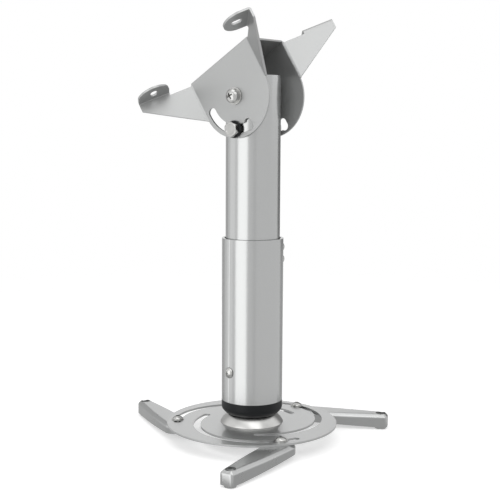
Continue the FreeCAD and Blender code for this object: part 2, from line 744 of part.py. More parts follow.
def arm_bolts():
    """A button-head bolt, its washer and its nut in each slot."""
    for index, name in enumerate(ARMS, 1):
        across, along = slot_place(index, name)
        x, y = f"column_x + {across}", f"column_y + {along}"
        washer_top = f"{PLATE_TOP} + arm_washer_thickness"
        nut_bottom = "(foot_height - arm_root_height + arm_nut_room)"
        head = dome(f"arm_head_{index}", "arm_bolt_head_radius", "arm_bolt_head_height")
        key = hexagon(
            f"arm_key_{index}",
            "arm_bolt_key_width",
            "arm_bolt_key_depth + 1",
            z="arm_bolt_head_height - arm_bolt_key_depth",
        )
        length = f"({washer_top} - {nut_bottom})"
        shank = cylinder(f"arm_shank_{index}", "arm_bolt_radius", length, z=f"-{length}")
        bolt = fuse(f"arm_bolt_solid_{index}", cut(f"arm_head_cut_{index}", head, key), shank)
        keep(f"arm_bolt_{index}", place(bolt, x, y, washer_top))
        ring = washer(
            f"arm_washer_ring_{index}",
            "arm_bolt_radius + thread_gap",
            "arm_washer_radius",
            "arm_washer_thickness",
        )
        keep(f"arm_washer_{index}", place(ring, x, y, PLATE_TOP))
        nut = hexagon_nut(f"arm_nut_solid_{index}", "arm_nut_width", "arm_nut_height", "arm_bolt_radius")
        keep(f"arm_nut_{index}", place(nut, x, y, nut_bottom))


def arm_outline(name):
    """An arm seen from above: a round root, gently bowed sides and a tip with rounded corners."""
    root, corner, bow = size("arm_root_radius"), size("arm_tip_corner"), size("arm_side_radius")
    corner_x = "(arm_length + arm_tip_reach - arm_tip_corner)"
    corner_y = "(arm_tip_width / 2 - arm_tip_corner)"
    x = size("arm_length") + size("arm_tip_reach") - corner
    y = size("arm_tip_width") / 2 - corner
    to_root, to_corner, apart = bow - root, bow - corner, math.hypot(x, y)
    slant = math.atan2(y, x) - math.acos((to_root**2 + apart**2 - to_corner**2) / (2 * to_root * apart))
    middle, drop = to_root * math.cos(slant), -to_root * math.sin(slant)
    root_angle = math.atan2(drop, -middle)
    tip_angle = math.atan2(y + drop, x - middle)

    def arc(centre, radius, first, last):
        return Part.ArcOfCircle(Part.Circle(centre, Z_AXIS, radius), first, last)

    sketch = doc.addObject("Sketcher::SketchObject", name)
    sketch.addGeometry(arc(V(0, 0, 0), root, root_angle, 2 * math.pi - root_angle), False)
    sketch.addGeometry(arc(V(x, y, 0), corner, 0, tip_angle), False)
    sketch.addGeometry(arc(V(x, -y, 0), corner, -tip_angle, 0), False)
    sketch.addGeometry(Part.LineSegment(V(x + corner, -y, 0), V(x + corner, y, 0)), False)
    sketch.addGeometry(arc(V(middle, -drop, 0), bow, tip_angle, root_angle), False)
    sketch.addGeometry(arc(V(middle, drop, 0), bow, -root_angle, -tip_angle), False)
    joins = ((1, 2, 4, 1), (4, 2, 0, 1), (0, 2, 5, 1), (5, 2, 2, 1), (2, 2, 3, 1), (3, 2, 1, 1))
    for first, first_end, second, second_end in joins:
        sketch.addConstraint(Sketcher.Constraint("Tangent", first, first_end, second, second_end))
    sketch.addConstraint(Sketcher.Constraint("Coincident", 0, 3, -1, 1))
    sketch.addConstraint(Sketcher.Constraint("Symmetric", 1, 3, 2, 3, -1))
    sketch.addConstraint(Sketcher.Constraint("Equal", 1, 2))
    sketch.addConstraint(Sketcher.Constraint("Equal", 4, 5))
    for kind, text, *where in (
        ("DistanceX", corner_x, -1, 1, 1, 3, x),
        ("DistanceY", corner_y, -1, 1, 1, 3, y),
        ("Radius", "arm_root_radius", 0, root),
        ("Radius", "arm_tip_corner", 1, corner),
        ("Radius", "arm_side_radius", 4, bow),
    ):
        index = sketch.addConstraint(Sketcher.Constraint(kind, *where))
        sketch.setExpression(f"Constraints[{index}]", formula(text))
    return sketch


def side_profile(name, corners, half_width):
    """A profile in the XZ plane pushed out to both sides."""
    sketch = polygon(f"{name}_profile", corners)
    sketch.Placement = FreeCAD.Placement(V(), FreeCAD.Rotation(X_AXIS, 90))
    item = extrusion(name, sketch, half_width, Y_AXIS)
    return bind(item, LengthRev=half_width)


def arm(index, name):
    """Cast arm: flat top, bevelled shoulders, an underside that slopes to a foot, a bolt hole and a tip hole."""
    top = extrusion(f"arm_blank_{index}", arm_outline(f"arm_outline_{index}"), "arm_tip_height", -Z_AXIS)
    slope_end = "(arm_length - arm_tip_reach)"
    below = "-(arm_tip_height + 1)"
    slope = side_profile(
        f"arm_slope_{index}",
        [
            ("-2 * arm_root_radius", "-arm_root_height"),
            ("arm_root_radius", "-arm_root_height"),
            (slope_end, "-arm_tip_height"),
            (slope_end, below),
            ("-2 * arm_root_radius", below),
        ],
        "2 * arm_root_radius",
    )
    body = edged(
        "Part::Chamfer",
        f"arm_body_{index}",
        cut(f"arm_cast_{index}", top, slope),
        "arm_shoulder",
        lambda edge: flat_at(edge, 0),
    )
    foot = cylinder(f"arm_foot_{index}", "foot_radius", "foot_height - 1", "arm_length", z="-foot_height")
    cast = fuse(f"arm_with_foot_{index}", body, foot)
    tall = "foot_height + 2"
    nut_top = "(arm_nut_height + 2 * arm_nut_room)"
    bore = "(arm_bolt_radius + arm_bolt_clearance)"
    cutters = [
        cylinder(f"arm_bore_{index}", bore, tall, z="-foot_height - 1"),
        cylinder(
            f"arm_nut_recess_{index}",
            "arm_nut_width / sqrt(3) + arm_nut_room",
            f"{nut_top} + 1",
            z="-arm_root_height - 1",
        ),
        cylinder(f"arm_tip_hole_{index}", "tip_hole_radius", tall, "arm_length", z="-foot_height - 1"),
        cylinder(
            f"arm_tip_recess_{index}", "tip_recess_radius", "tip_recess_depth + 1", "arm_length",
            z="-tip_recess_depth",
        ),
    ]
    across, along = slot_place(index, name)
    finished = cut(f"arm_solid_{index}", cast, *cutters)
    x, y = f"column_x + {across}", f"column_y + {along}"
    keep(f"arm_{index}", place(finished, x, y, "foot_height", Z_AXIS, f"arm_{name}_heading"))


def ear():
    """One ear with its folded tab, about its fold line: X along the ear, Z up."""
    panel = side_profile(
        "ear_panel",
        [
            ("0", "ear_root_bottom"),
            ("0", "ear_root_top"),
            ("tab_start", "ear_root_top"),
            ("tab_start", "tab_top - sheet_thickness"),
            ("ear_length", "tab_top - sheet_thickness"),
            ("ear_length", "ear_tip_bottom"),
        ],
        "sheet_thickness / 2",
    )
    place(panel, y="sheet_thickness / 2")
    height = "(ear_root_top - ear_root_bottom)"
    fold = sector("ear_fold", "sheet_thickness", height, "90", "ear_angle", z="ear_root_bottom")
    width = "(ear_length - tab_start)"
    straight = f"(tab_reach - {width} / 2)"
    bend = doc.addObject("Part::Cylinder", "tab_bend")
    bind(bend, Radius="sheet_thickness", Height=width, Angle="90")
    bend.Placement = FreeCAD.Placement(V(), FreeCAD.Rotation(Y_AXIS, 90) * FreeCAD.Rotation(Z_AXIS, 90))
    bind(bend, Placement__Base__x="tab_start", Placement__Base__z="tab_top - sheet_thickness")
    low = "tab_top - sheet_thickness"
    plate = box("tab_plate", width, straight, "sheet_thickness", "tab_start", f"-{straight}", low)
    middle = f"tab_start + {width} / 2"
    nose = sector("tab_nose", f"{width} / 2", "sheet_thickness", "180", "180")
    place(nose, middle, f"-{straight}", low)
    solid = fuse("ear_solid", panel, fold, bend, plate, nose)
    half = "(tab_hole_length - tab_hole_width) / 2"
    tall = "sheet_thickness + 2"
    below = f"{low} - 1"
    hole = fuse(
        "tab_hole",
        cylinder("tab_hole_near", "tab_hole_width / 2", tall, middle, f"-tab_hole_reach + {half}", below),
        cylinder("tab_hole_far", "tab_hole_width / 2", tall, middle, f"-tab_hole_reach - {half}", below),
        box(
            "tab_hole_middle", "tab_hole_width", f"2 * {half}", tall,
            f"{middle} - tab_hole_width / 2", f"-tab_hole_reach - {half}", below,
        ),
    )
    finished = cut("ear_cut", solid, hole)
    return place(finished, "bracket_half_length", f"-{CHEEK_OUTSIDE}", axis=Z_AXIS, turn="-ear_angle")


def mirrored(name, source, normal):
    item = doc.addObject("Part::Mirroring", name)
    item.Source = source
    item.Normal = normal
    return item


def channel():
    """The web and both cheeks: a folded channel with round-ended cheeks."""
    length, height = "2 * bracket_half_length", "cheek_radius + web_height"
    outer = box(
        "channel_outer", length, f"2 * {CHEEK_OUTSIDE}", height,
        "-bracket_half_length", f"-{CHEEK_OUTSIDE}", "-cheek_radius",
    )
    top = size("web_height")
    skin = edged(
        "Part::Fillet", "channel_skin", outer, "web_bend_radius",
        lambda edge: flat_at(edge, top) and edge.BoundBox.XLength > 1,
    )
    inner = box(
        "channel_inner", f"{length} + 2", f"2 * {CHEEK_INSIDE}", f"{height} - sheet_thickness",
        "-bracket_half_length - 1", f"-{CHEEK_INSIDE}", "-cheek_radius",
    )
    round_end = along_y("cheek_round", "cheek_radius", f"{CHEEK_OUTSIDE} + 1", "0")
    upright = box(
        "cheek_upright", length, f"2 * {CHEEK_OUTSIDE} + 2", "web_height - ear_root_bottom",
        "-bracket_half_length", f"-{CHEEK_OUTSIDE} - 1", "ear_root_bottom",
    )
    outline = fuse("cheek_outline", round_end, upright)
    return common("channel", cut("channel_folded", skin, inner), outline)


def tilt_slot():
    """Arc slot for the clamp bolt with an enlarged end, through both cheeks."""
    tall = f"2 * ({CHEEK_OUTSIDE} + 1)"
    band = cut(
        "tilt_band",
        sector("tilt_wedge", "tilt_slot_radius + tilt_slot_width / 2", tall, "0", "tilt_slot_sweep"),
        cylinder("tilt_core", "tilt_slot_radius - tilt_slot_width / 2", tall),
    )
    far_end = cylinder(
        "tilt_far_end", "tilt_slot_width / 2", tall,
        "tilt_slot_radius * cos(tilt_slot_sweep)", "tilt_slot_radius * sin(tilt_slot_sweep)",
    )
    half = "((slot_lobe_height - tilt_slot_width) / 2)"
    lobe = [
        cylinder(f"tilt_lobe_{index}", "tilt_slot_width / 2", tall, f"tilt_slot_radius {sign} {half}")
        for index, sign in enumerate("+-")
    ]
    bridge = box(
        "tilt_lobe_bridge", f"2 * {half}", "tilt_slot_width", tall,
        f"tilt_slot_radius - {half}", "-tilt_slot_width / 2",
    )
    slot = fuse("tilt_slot", band, far_end, bridge, *lobe)
    # X of the slot turns to straight down and Y to the left, about the pivot's axis
    turn = FreeCAD.Rotation(V(0, 0, -1), V(-1, 0, 0), V(0, 1, 0), "ZXY")
    slot.Placement = FreeCAD.Placement(V(), turn)
    return bind(slot, Placement__Base__y=f"-({CHEEK_OUTSIDE} + 1)")


def ceiling_bracket():
    """One folded sheet: web, two cheeks, four ears turned out at an angle, and their tabs."""
    right_front = ear()
    left_front = mirrored("ear_left_front", right_front, X_AXIS)
    front = fuse("ears_front", right_front, left_front)
    back = mirrored("ears_back", front, Y_AXIS)
    sheet = fuse("bracket_sheet", channel(), front, back)
    pivot_hole = along_y("pivot_hole", "pivot_bolt_radius + pivot_clearance", f"{CHEEK_OUTSIDE} + 1", "0")
    web_hole = cylinder("web_hole", "web_hole_radius", "sheet_thickness + 2", "web_hole_along")
    bind(web_hole, Placement__Base__z="web_height - sheet_thickness - 1")
    bracket = cut("bracket", sheet, pivot_hole, web_hole, tilt_slot())
    keep("ceiling_bracket", place(bracket, "column_x", "column_y", PIVOT_Z, Y_AXIS, "-tilt_angle"))


def across_column(label, item, height):
    """Lay an item that was made along Z across the column, with its plus end at the back."""
    item.Placement = FreeCAD.Placement(V(), FreeCAD.Rotation(X_AXIS, -90))
    keep(label, place(item, "column_x", "column_y", height))


def pivot_hardware():
    """The tilt pivot: pan-head bolt, lock washer, flat washers and nut."""
    front = f"(-{CHEEK_OUTSIDE})"
    head_seat = f"({front} - pivot_washer_thickness - lock_washer_thickness)"
    back_nut = f"({CHEEK_OUTSIDE} + pivot_washer_thickness)"
    bolt_end = f"({back_nut} + hexagon_nut_height + bolt_end_stand)"
    blank = dome("pivot_head", "pivot_head_radius", "pivot_head_height")
    cross = driver_cross("pivot_cross", "pivot_cross", "pivot_head_height")
    head = cut("pivot_head_cut", blank, cross)
    head.Placement = FreeCAD.Placement(V(), FreeCAD.Rotation(X_AXIS, 180))
    bind(head, Placement__Base__z=head_seat)
    length = f"{bolt_end} - {head_seat}"
    shank = cylinder("pivot_shank", "pivot_bolt_radius", length, z=head_seat)
    across_column("pivot_bolt", fuse("pivot_bolt_solid", head, shank), PIVOT_Z)
    bore = "pivot_bolt_radius + thread_gap"
    lock = washer("pivot_lock_ring", bore, "lock_washer_radius", "lock_washer_thickness", z=head_seat)
    split = box(
        "lock_split", "lock_washer_radius + 1", "lock_washer_split", "lock_washer_thickness + 2",
        "0", "-lock_washer_split / 2", f"{head_seat} - 1",
    )
    across_column("pivot_lock_washer", cut("pivot_lock_split", lock, split), PIVOT_Z)
    flats = [
        washer(f"pivot_flat_{index}", bore, "pivot_washer_radius", "pivot_washer_thickness", z=level)
        for index, level in enumerate((f"{front} - pivot_washer_thickness", CHEEK_OUTSIDE))
    ]
    across_column("pivot_washers", group("pivot_flat_pair", *flats), PIVOT_Z)
    nut = hexagon_nut("pivot_nut_solid", "hexagon_width", "hexagon_nut_height", "pivot_bolt_radius")
    across_column("pivot_nut", place(group("pivot_nut_out", nut), z=back_nut), PIVOT_Z)


def tilt_clamp_hardware():
    """The clamp bolt in the arc slots: hexagon bolt, black washers and nut."""
    front = f"(-{CHEEK_OUTSIDE} - tilt_washer_thickness)"
    back_nut = f"({CHEEK_OUTSIDE} + tilt_washer_thickness)"
    bolt_end = f"({back_nut} + hexagon_nut_height + bolt_end_stand)"
    level = f"({PIVOT_Z} - tilt_slot_radius)"
    head = hexagon("tilt_head", "hexagon_width", "hexagon_head_height", z=f"{front} - hexagon_head_height")
    shank = cylinder("tilt_shank", "pivot_bolt_radius", f"{bolt_end} - {front}", z=front)
    across_column("tilt_bolt", fuse("tilt_bolt_solid", head, shank), level)
    bore = "pivot_bolt_radius + thread_gap"
    rings = [
        washer(f"tilt_ring_{index}", bore, "tilt_washer_radius", "tilt_washer_thickness", z=base)
        for index, base in enumerate((front, CHEEK_OUTSIDE))
    ]
    across_column("tilt_washers", group("tilt_ring_pair", *rings), level)
    nut = hexagon_nut("tilt_nut_solid", "hexagon_width", "hexagon_nut_height", "pivot_bolt_radius")
    across_column("tilt_nut", place(group("tilt_nut_out", nut), z=back_nut), level)


def check_document():
    """Stop on any failed object or broken sub-part."""
    doc.recompute()
    for item in doc.Objects:
        if "Invalid" in item.State or "Error" in item.State:
            raise RuntimeError(f"{item.Name} ({item.Label}) is {item.State}")
    for label, item in parts.items():
        shape = item.Shape
        if shape.isNull() or not shape.isValid() or not shape.Solids:
            raise RuntimeError(f"{label} has no valid solid")


projector_plate()
ball_dome()
ball_liner()
clamp_cup()
clamp_bolt()
spring_washers()
disc_springs()
clamp_nut()
end_ring()
column_insert()
insert_screws()
outer_tube()
guide_bush()
height_lock_screws()
upper_tube()
guide_shoe()
arm_bolts()
for index, name in enumerate(ARMS, 1):
    arm(index, name)
ceiling_bracket()
pivot_hardware()
tilt_clamp_hardware()
check_document()

os.makedirs("parts", exist_ok=True)
for label, item in parts.items():
    item.Shape.exportStep(f"parts/{label}.step")
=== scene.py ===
# Projector ceiling mount, as it stands on the tips of its three arms: slotted plate, ball joint, telescopic
# column and folded ceiling bracket. Metres, +Z up. The sections follow the mount from the plate upwards.
import math

import bmesh
import bpy
from mathutils import Matrix, Vector


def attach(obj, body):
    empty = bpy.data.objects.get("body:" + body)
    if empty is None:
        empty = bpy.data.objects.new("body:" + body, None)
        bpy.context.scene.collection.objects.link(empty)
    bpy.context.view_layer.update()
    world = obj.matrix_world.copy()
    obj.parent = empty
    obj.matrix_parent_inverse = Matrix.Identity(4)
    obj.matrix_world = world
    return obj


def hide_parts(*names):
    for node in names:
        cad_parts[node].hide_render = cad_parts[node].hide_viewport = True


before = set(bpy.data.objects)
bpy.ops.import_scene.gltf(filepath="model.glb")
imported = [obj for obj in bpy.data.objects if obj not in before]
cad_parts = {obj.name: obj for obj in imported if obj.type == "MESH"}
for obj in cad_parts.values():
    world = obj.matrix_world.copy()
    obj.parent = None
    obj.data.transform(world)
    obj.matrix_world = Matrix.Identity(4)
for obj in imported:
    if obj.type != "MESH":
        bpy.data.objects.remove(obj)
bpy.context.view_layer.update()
MM = 0.001
COLUMN = (28.2, 7.1)

# Studio. A white floor fades into a white background. Two tall soft lamps stand at the camera's left, two
# hang over the front and one over the right. Grey boards in the reflections draw the dark edges. A grey
# disc under the floor, seen only in reflections, is a painted shadow of the floor round the mount.
CAMERA_PLACE = (0.6520, -0.8250, 0.3131)
CAMERA_AZIMUTH = math.radians(37.0)
CAMERA_PITCH = math.radians(6.817)
CAMERA_ROLL = 0.0049
CAMERA_LENS = 77.24
AMBIENT = 0.55
FLOOR_RADIUS, FLOOR_GREY, FLOOR_GLOW = 1.6, 0.8, 0.45
FADE_START, FADE_END = 0.45, 1.2

level = Vector((-math.sin(CAMERA_AZIMUTH), math.cos(CAMERA_AZIMUTH), 0))
ahead = math.cos(CAMERA_PITCH) * level - math.sin(CAMERA_PITCH) * Vector((0, 0, 1))
right = ahead.cross(Vector((0, 0, 1))).normalized()
above = right.cross(ahead)
across = math.cos(CAMERA_ROLL) * right + math.sin(CAMERA_ROLL) * above
upward = across.cross(ahead)
bpy.ops.object.camera_add()
camera = bpy.context.active_object
camera.data.lens = CAMERA_LENS
camera.data.clip_start, camera.data.clip_end = 0.05, 20
camera_turn = Matrix((across, upward, -ahead)).transposed().to_4x4()
camera.matrix_world = Matrix.Translation(CAMERA_PLACE) @ camera_turn
bpy.context.scene.camera = camera
bpy.context.scene.view_settings.view_transform = "Standard"


class Wire:
    """A shader socket. Sums and products of wires add the Math nodes that work them out."""

    def __init__(self, tree, socket):
        self.tree, self.socket = tree, socket

    def maths(self, operation, first, second, clamp=False):
        node = self.tree.nodes.new("ShaderNodeMath")
        node.operation, node.use_clamp = operation, clamp
        for value, socket in zip((first, second), node.inputs):
            if isinstance(value, Wire):
                self.tree.links.new(value.socket, socket)
            else:
                socket.default_value = value
        return Wire(self.tree, node.outputs[0])

    def __add__(self, other):
        return self.maths("ADD", self, other)

    def __sub__(self, other):
        return self.maths("SUBTRACT", self, other)

    def __rsub__(self, other):
        return self.maths("SUBTRACT", other, self)

    def __mul__(self, other):
        return self.maths("MULTIPLY", self, other)

    __radd__, __rmul__ = __add__, __mul__

    def over(self, other):
        """The larger of two wires."""
        return self.maths("MAXIMUM", self, other)

    def step(self, low, high):
        """0 below one value, 1 above another, straight in between."""
        return self.maths("MULTIPLY", self - low, 1 / (high - low), clamp=True)


class Finish:
    """The nodes of one material or of the world."""

    def __init__(self, tree):
        self.tree = tree

    def node(self, kind, settings=None, values=None, out=0):
        """Add a node, set it, and give its sockets their values or wires."""
        made = self.tree.nodes.new(kind)
        for name, value in (settings or {}).items():
            setattr(made, name, value)
        for name, value in (values or {}).items():
            self.plug(value, made.inputs[name])
        return Wire(self.tree, made.outputs[out]) if made.outputs else made

    def plug(self, value, socket):
        if isinstance(value, Wire):
            self.tree.links.new(value.socket, socket)
        else:
            socket.default_value = value


def new_finish(name):
    """A new material and the finish that its nodes go in, emptied of what Blender puts there."""
    material = bpy.data.materials.new(name)
    material.use_nodes = True
    material.node_tree.nodes.clear()
    return material, Finish(material.node_tree)


def surface(material, finish, shader):
    """Join a shader to the material's output."""
    finish.node("ShaderNodeOutputMaterial", values={"Surface": shader})
    return material


def seen_white(finish):
    """1 for what the camera sees directly, in gloss or through glass."""
    camera_ray, glossy, transmission = (
        finish.node("ShaderNodeLightPath", out=f"Is {kind} Ray")
        for kind in ("Camera", "Glossy", "Transmission")
    )
    return camera_ray.over(glossy).over(transmission)


bpy.context.scene.world = bpy.data.worlds.new("studio")
bpy.context.scene.world.use_nodes = True
room = Finish(bpy.context.scene.world.node_tree)
room.tree.nodes.clear()
light = room.node(
    "ShaderNodeBackground",
    values={"Color": (1, 1, 1, 1), "Strength": AMBIENT + (1 - AMBIENT) * seen_white(room)},
)
room.node("ShaderNodeOutputWorld", values={"Surface": light})

bpy.ops.object.select_all(action="DESELECT")
bpy.ops.mesh.primitive_circle_add(vertices=96, radius=FLOOR_RADIUS, fill_type="NGON")
floor = bpy.context.active_object
floor.name = "studio_floor"
white, paint = new_finish("floor_white")
distance = paint.node(
    "ShaderNodeVectorMath",
    {"operation": "LENGTH"},
    {"Vector": paint.node("ShaderNodeTexCoord", out="Object")},
    out="Value",
)
matt = paint.node("ShaderNodeBsdfDiffuse", values={"Color": (FLOOR_GREY, FLOOR_GREY, FLOOR_GREY, 1)})
glow = paint.node(
    "ShaderNodeEmission",
    values={"Color": (1, 1, 1, 1), "Strength": FLOOR_GLOW * seen_white(paint)},
)
lit = paint.node("ShaderNodeAddShader", values={0: matt, 1: glow})
clear = paint.node("ShaderNodeBsdfTransparent")
fade = distance.step(FADE_START, FADE_END)
faded = paint.node("ShaderNodeMixShader", values={0: fade, 1: lit, 2: clear})
floor.data.materials.append(surface(white, paint, faded))
floor.visible_glossy = False


def on_axis(height):
    """The place on the column's axis at a height in metres."""
    return Vector((COLUMN[0] * MM, COLUMN[1] * MM, height))


def soft_lamp(name, azimuth, rise, height, distance, width, tall, power):
    """A rectangular lamp that faces the column at a height, from an azimuth and an angle over it."""
    middle = on_axis(height)
    turn, lift = math.radians(azimuth), math.radians(rise)
    place = middle + distance * Vector(
        (math.cos(lift) * math.cos(turn), math.cos(lift) * math.sin(turn), math.sin(lift))
    )
    bpy.ops.object.light_add(type="AREA", location=place)
    lamp = bpy.context.active_object
    lamp.name = name
    lamp.data.shape = "RECTANGLE"
    lamp.data.size, lamp.data.size_y, lamp.data.energy = width, tall, power
    lamp.rotation_mode = "QUATERNION"
    lamp.rotation_quaternion = (middle - place).to_track_quat("-Z", "Y")
    lamp.visible_camera = False


for lamp_row in (  # name, azimuth, rise, height aimed at, distance, width, tall and watts
    ("lamp_left", -97, 0, 0.1, 1.4, 1.15, 2.6, 11),
    ("lamp_wing", -148, 0, 0.1, 1.4, 0.8, 2.6, 2.2),
    ("lamp_top", -36, 44, 0.3, 1.9, 1.3, 1.3, 8.5),
    ("lamp_above", -99, 69, 0.3, 1.8, 1.2, 1.0, 4.5),
    ("lamp_fill", 60, 35, 0.2, 1.8, 2.2, 2.0, 4.5),
):
    soft_lamp(*lamp_row)


def mirrored_only(card, name, grey):
    """Let only reflections see a grey board."""
    card.name = name
    board, cloth = new_finish(name)
    glow = cloth.node("ShaderNodeEmission", values={"Color": (grey, grey, grey, 1)})
    card.data.materials.append(surface(board, cloth, glow))
    card.visible_camera = card.visible_diffuse = card.visible_shadow = False


def dark_card(name, azimuth, height, distance, width, tall, grey):
    """A grey board that stands up facing the column: it draws the dark edges on the bright parts."""
    middle = on_axis(height)
    turn = math.radians(azimuth)
    place = middle + Vector((distance * math.cos(turn), distance * math.sin(turn), 0))
    bpy.ops.object.select_all(action="DESELECT")
    bpy.ops.mesh.primitive_plane_add(size=1, location=place)
    card = bpy.context.active_object
    card.scale = (width, tall, 1)
    card.rotation_mode = "QUATERNION"
    card.rotation_quaternion = (middle - place).to_track_quat("-Z", "Y")
    mirrored_only(card, name, grey)


for card_row in (  # name, azimuth, height of its middle, distance, width, tall and grey
    ("card_behind_camera", -46, 0.3, 1.5, 0.3, 2.6, 0.88),
    ("card_far_left", 160, 0.3, 1.5, 1.0, 2.6, 0.6),
    ("card_far_right_high", 94, 1.32, 1.5, 1.1, 2.6, 0.25),
    ("card_far_right_low", 94, -0.48, 1.5, 1.1, 1.0, 0.55),
):
    dark_card(*card_row)
# Painted shadow: a grey disc just under the floor, seen only in reflections, stands for the floor shaded by
# the plate and arms.
NEAR_FLOOR_RADIUS, NEAR_FLOOR_DROP, NEAR_FLOOR_SHADOW_GREY = 0.17, 0.001, 0.62
bpy.ops.object.select_all(action="DESELECT")
bpy.ops.mesh.primitive_circle_add(
    vertices=96, radius=NEAR_FLOOR_RADIUS, fill_type="NGON", location=on_axis(-NEAR_FLOOR_DROP)
)
mirrored_only(bpy.context.active_object, "painted_floor_shadow", NEAR_FLOOR_SHADOW_GREY)

# Silver lacquer. Bracket, arms, plate and tubes are sprayed with a metallic lacquer over smooth metal. The
# flakes give a fine sparkle, and a thin clear coat over them shows the lamps.
SILVER = (0.385, 0.39, 0.388)


def silver_lacquer(name, shade, roughness, coat, sparkle, metallic=0.95, coat_roughness=0.08):
    """A silver lacquer: its shade beside the common one, its roughness, its coat and its flakes."""
    material, finish = new_finish(name)
    place = finish.node("ShaderNodeTexCoord", out="Object")
    flakes = finish.node("ShaderNodeTexNoise", values={"Vector": place, "Scale": 2600.0, "Detail": 2.0})
    clouds = finish.node("ShaderNodeTexNoise", values={"Vector": place, "Scale": 38.0, "Detail": 3.0})
    tone = finish.node(
        "ShaderNodeMix",
        {"data_type": "RGBA"},
        {
            "Factor": (0.35 + 0.6 * (flakes - 0.5) * sparkle + 0.3 * clouds).step(0.0, 1.0),
            "A": (*(shade * part * 0.94 for part in SILVER), 1),
            "B": (*(shade * part * 1.06 for part in SILVER), 1),
        },
        out="Result",
    )
    relief = finish.node(
        "ShaderNodeBump",
        values={"Strength": 0.12 * sparkle, "Distance": 0.00003, "Height": flakes},
    )
    skin = finish.node(
        "ShaderNodeBsdfPrincipled",
        values={
            "Base Color": tone,
            "Metallic": metallic,
            "Roughness": roughness + 0.05 * (clouds - 0.5),
            "Coat Weight": coat,
            "Coat Roughness": coat_roughness,
            "Normal": relief,
        },
    )
    return surface(material, finish, skin)


def alone(piece):
    """Make one piece the only one selected, and the active one."""
    bpy.ops.object.select_all(action="DESELECT")
    piece.select_set(True)
    bpy.context.view_layer.objects.active = piece


def settle(piece):
    """Put a piece's place, turn and scale into its mesh."""
    alone(piece)
    bpy.ops.object.transform_apply(location=True, rotation=True, scale=True)
    return piece


def modify(piece, kind, **settings):
    """Add a modifier, set it and apply it."""
    alone(piece)
    step = piece.modifiers.new(kind.lower(), kind)
    for name, value in settings.items():
        setattr(step, name, value)
    bpy.ops.object.modifier_apply(modifier=step.name)


def carve(piece, *cutters):
    """Cut each cutter out of a piece, and throw the cutter away."""
    for cutter in cutters:
        modify(piece, "BOOLEAN", operation="DIFFERENCE", solver="EXACT", object=cutter)
        bpy.data.objects.remove(cutter)


def soften(piece, width, segments=2, angle=34):
    """Round the sharp edges of a finished shape and shade the rest smooth."""
    modify(
        piece, "BEVEL", width=width * MM, segments=segments, limit_method="ANGLE",
        angle_limit=math.radians(angle), miter_outer="MITER_ARC", use_clamp_overlap=True,
    )
    alone(piece)
    bpy.ops.object.shade_smooth_by_angle(angle=math.radians(32))
    modify(piece, "WEIGHTED_NORMAL", keep_sharp=True)


def dress(piece, name, material, body, slot, *nodes):
    """Name a finished piece, give it its material and body, and hide the CAD nodes that it stands for."""
    settle(piece)
    piece.name = piece.data.name = name
    piece.data.materials.clear()
    piece.data.materials.append(material)
    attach(piece, body)
    if nodes:
        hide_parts(*nodes)
    return piece


def rod(radius, length, x=0.0, y=0.0, z=0.0, sides=64, turn=(0, 0, 0)):
    """A cylinder by its middle, in millimetres: the start of a pin or a cutter."""
    bpy.ops.object.select_all(action="DESELECT")
    bpy.ops.mesh.primitive_cylinder_add(
        vertices=sides, radius=radius * MM, depth=length * MM,
        location=(x * MM, y * MM, z * MM), rotation=turn,
    )
    return settle(bpy.context.active_object)


def bar(length, width, height, x=0.0, y=0.0, z=0.0, turn=(0, 0, 0)):
    """A cutter with square sides by its middle, in millimetres."""
    bpy.ops.object.select_all(action="DESELECT")
    bpy.ops.mesh.primitive_cube_add(size=1, location=(x * MM, y * MM, z * MM), rotation=turn)
    cutter = bpy.context.active_object
    cutter.scale = (length * MM, width * MM, height * MM)
    return settle(cutter)


WELD = 0.000005


def turned(corners, sides=128, solid=False):
    """A turned shape about Z: one ring of edges is extruded from corner to corner of its profile.

    The profile closes on itself, or on a solid it starts and ends in a flat cap round the axis.
    """
    radius, height = corners[0]
    bpy.ops.object.select_all(action="DESELECT")
    bpy.ops.mesh.primitive_circle_add(vertices=sides, radius=radius * MM, location=(0, 0, height * MM))
    piece = settle(bpy.context.active_object)
    bpy.ops.object.mode_set(mode="EDIT")
    bpy.ops.mesh.select_all(action="SELECT")
    for next_radius, next_height in corners[1:] if solid else (*corners[1:], corners[0]):
        ratio = next_radius / radius
        bpy.ops.mesh.extrude_edges_move()
        bpy.ops.transform.resize(value=(ratio, ratio, 1), center_override=(0, 0, 0))
        bpy.ops.transform.translate(value=(0, 0, (next_height - height) * MM))
        radius, height = next_radius, next_height
    bpy.ops.mesh.select_all(action="SELECT")
    if solid:
        bpy.ops.mesh.fill_holes(sides=0)
    else:
        bpy.ops.mesh.remove_doubles(threshold=WELD)
    bpy.ops.mesh.select_all(action="SELECT")
    bpy.ops.mesh.normals_make_consistent(inside=False)
    bpy.ops.object.mode_set(mode="OBJECT")
    return piece


def move(piece, x=0.0, y=0.0, z=0.0):
    """Shift a settled piece, in millimetres."""
    piece.location = (x * MM, y * MM, z * MM)
    return settle(piece)


def turn(piece, angle, axis="Z"):
    """Turn a settled piece about an axis through the origin."""
    piece.matrix_world = Matrix.Rotation(math.radians(angle), 4, axis)
    return settle(piece)


# Projector plate. A round disc of 2 mm steel sheet with rolled-over edges and three spiral slots, in glossy
# silver lacquer. The arms' bolts slide along the slots to meet the holes in any projector.
plate_lacquer = silver_lacquer("plate_silver", 1.2, 0.42, 0.7, 0.5, coat_roughness=0.06)
PLATE_RADIUS = 84.0
PLATE_LOW, PLATE_TOP = 16.0, 18.0
PLATE_OPENING = 28.0
SLOT_WIDTH, SLOT_RADIUS, SLOT_OFFSET = 6.8, 60.9, 13.0
SLOT_HEADING, SLOT_START, SLOT_SWEEP = -20.2, 186.2, 155.1


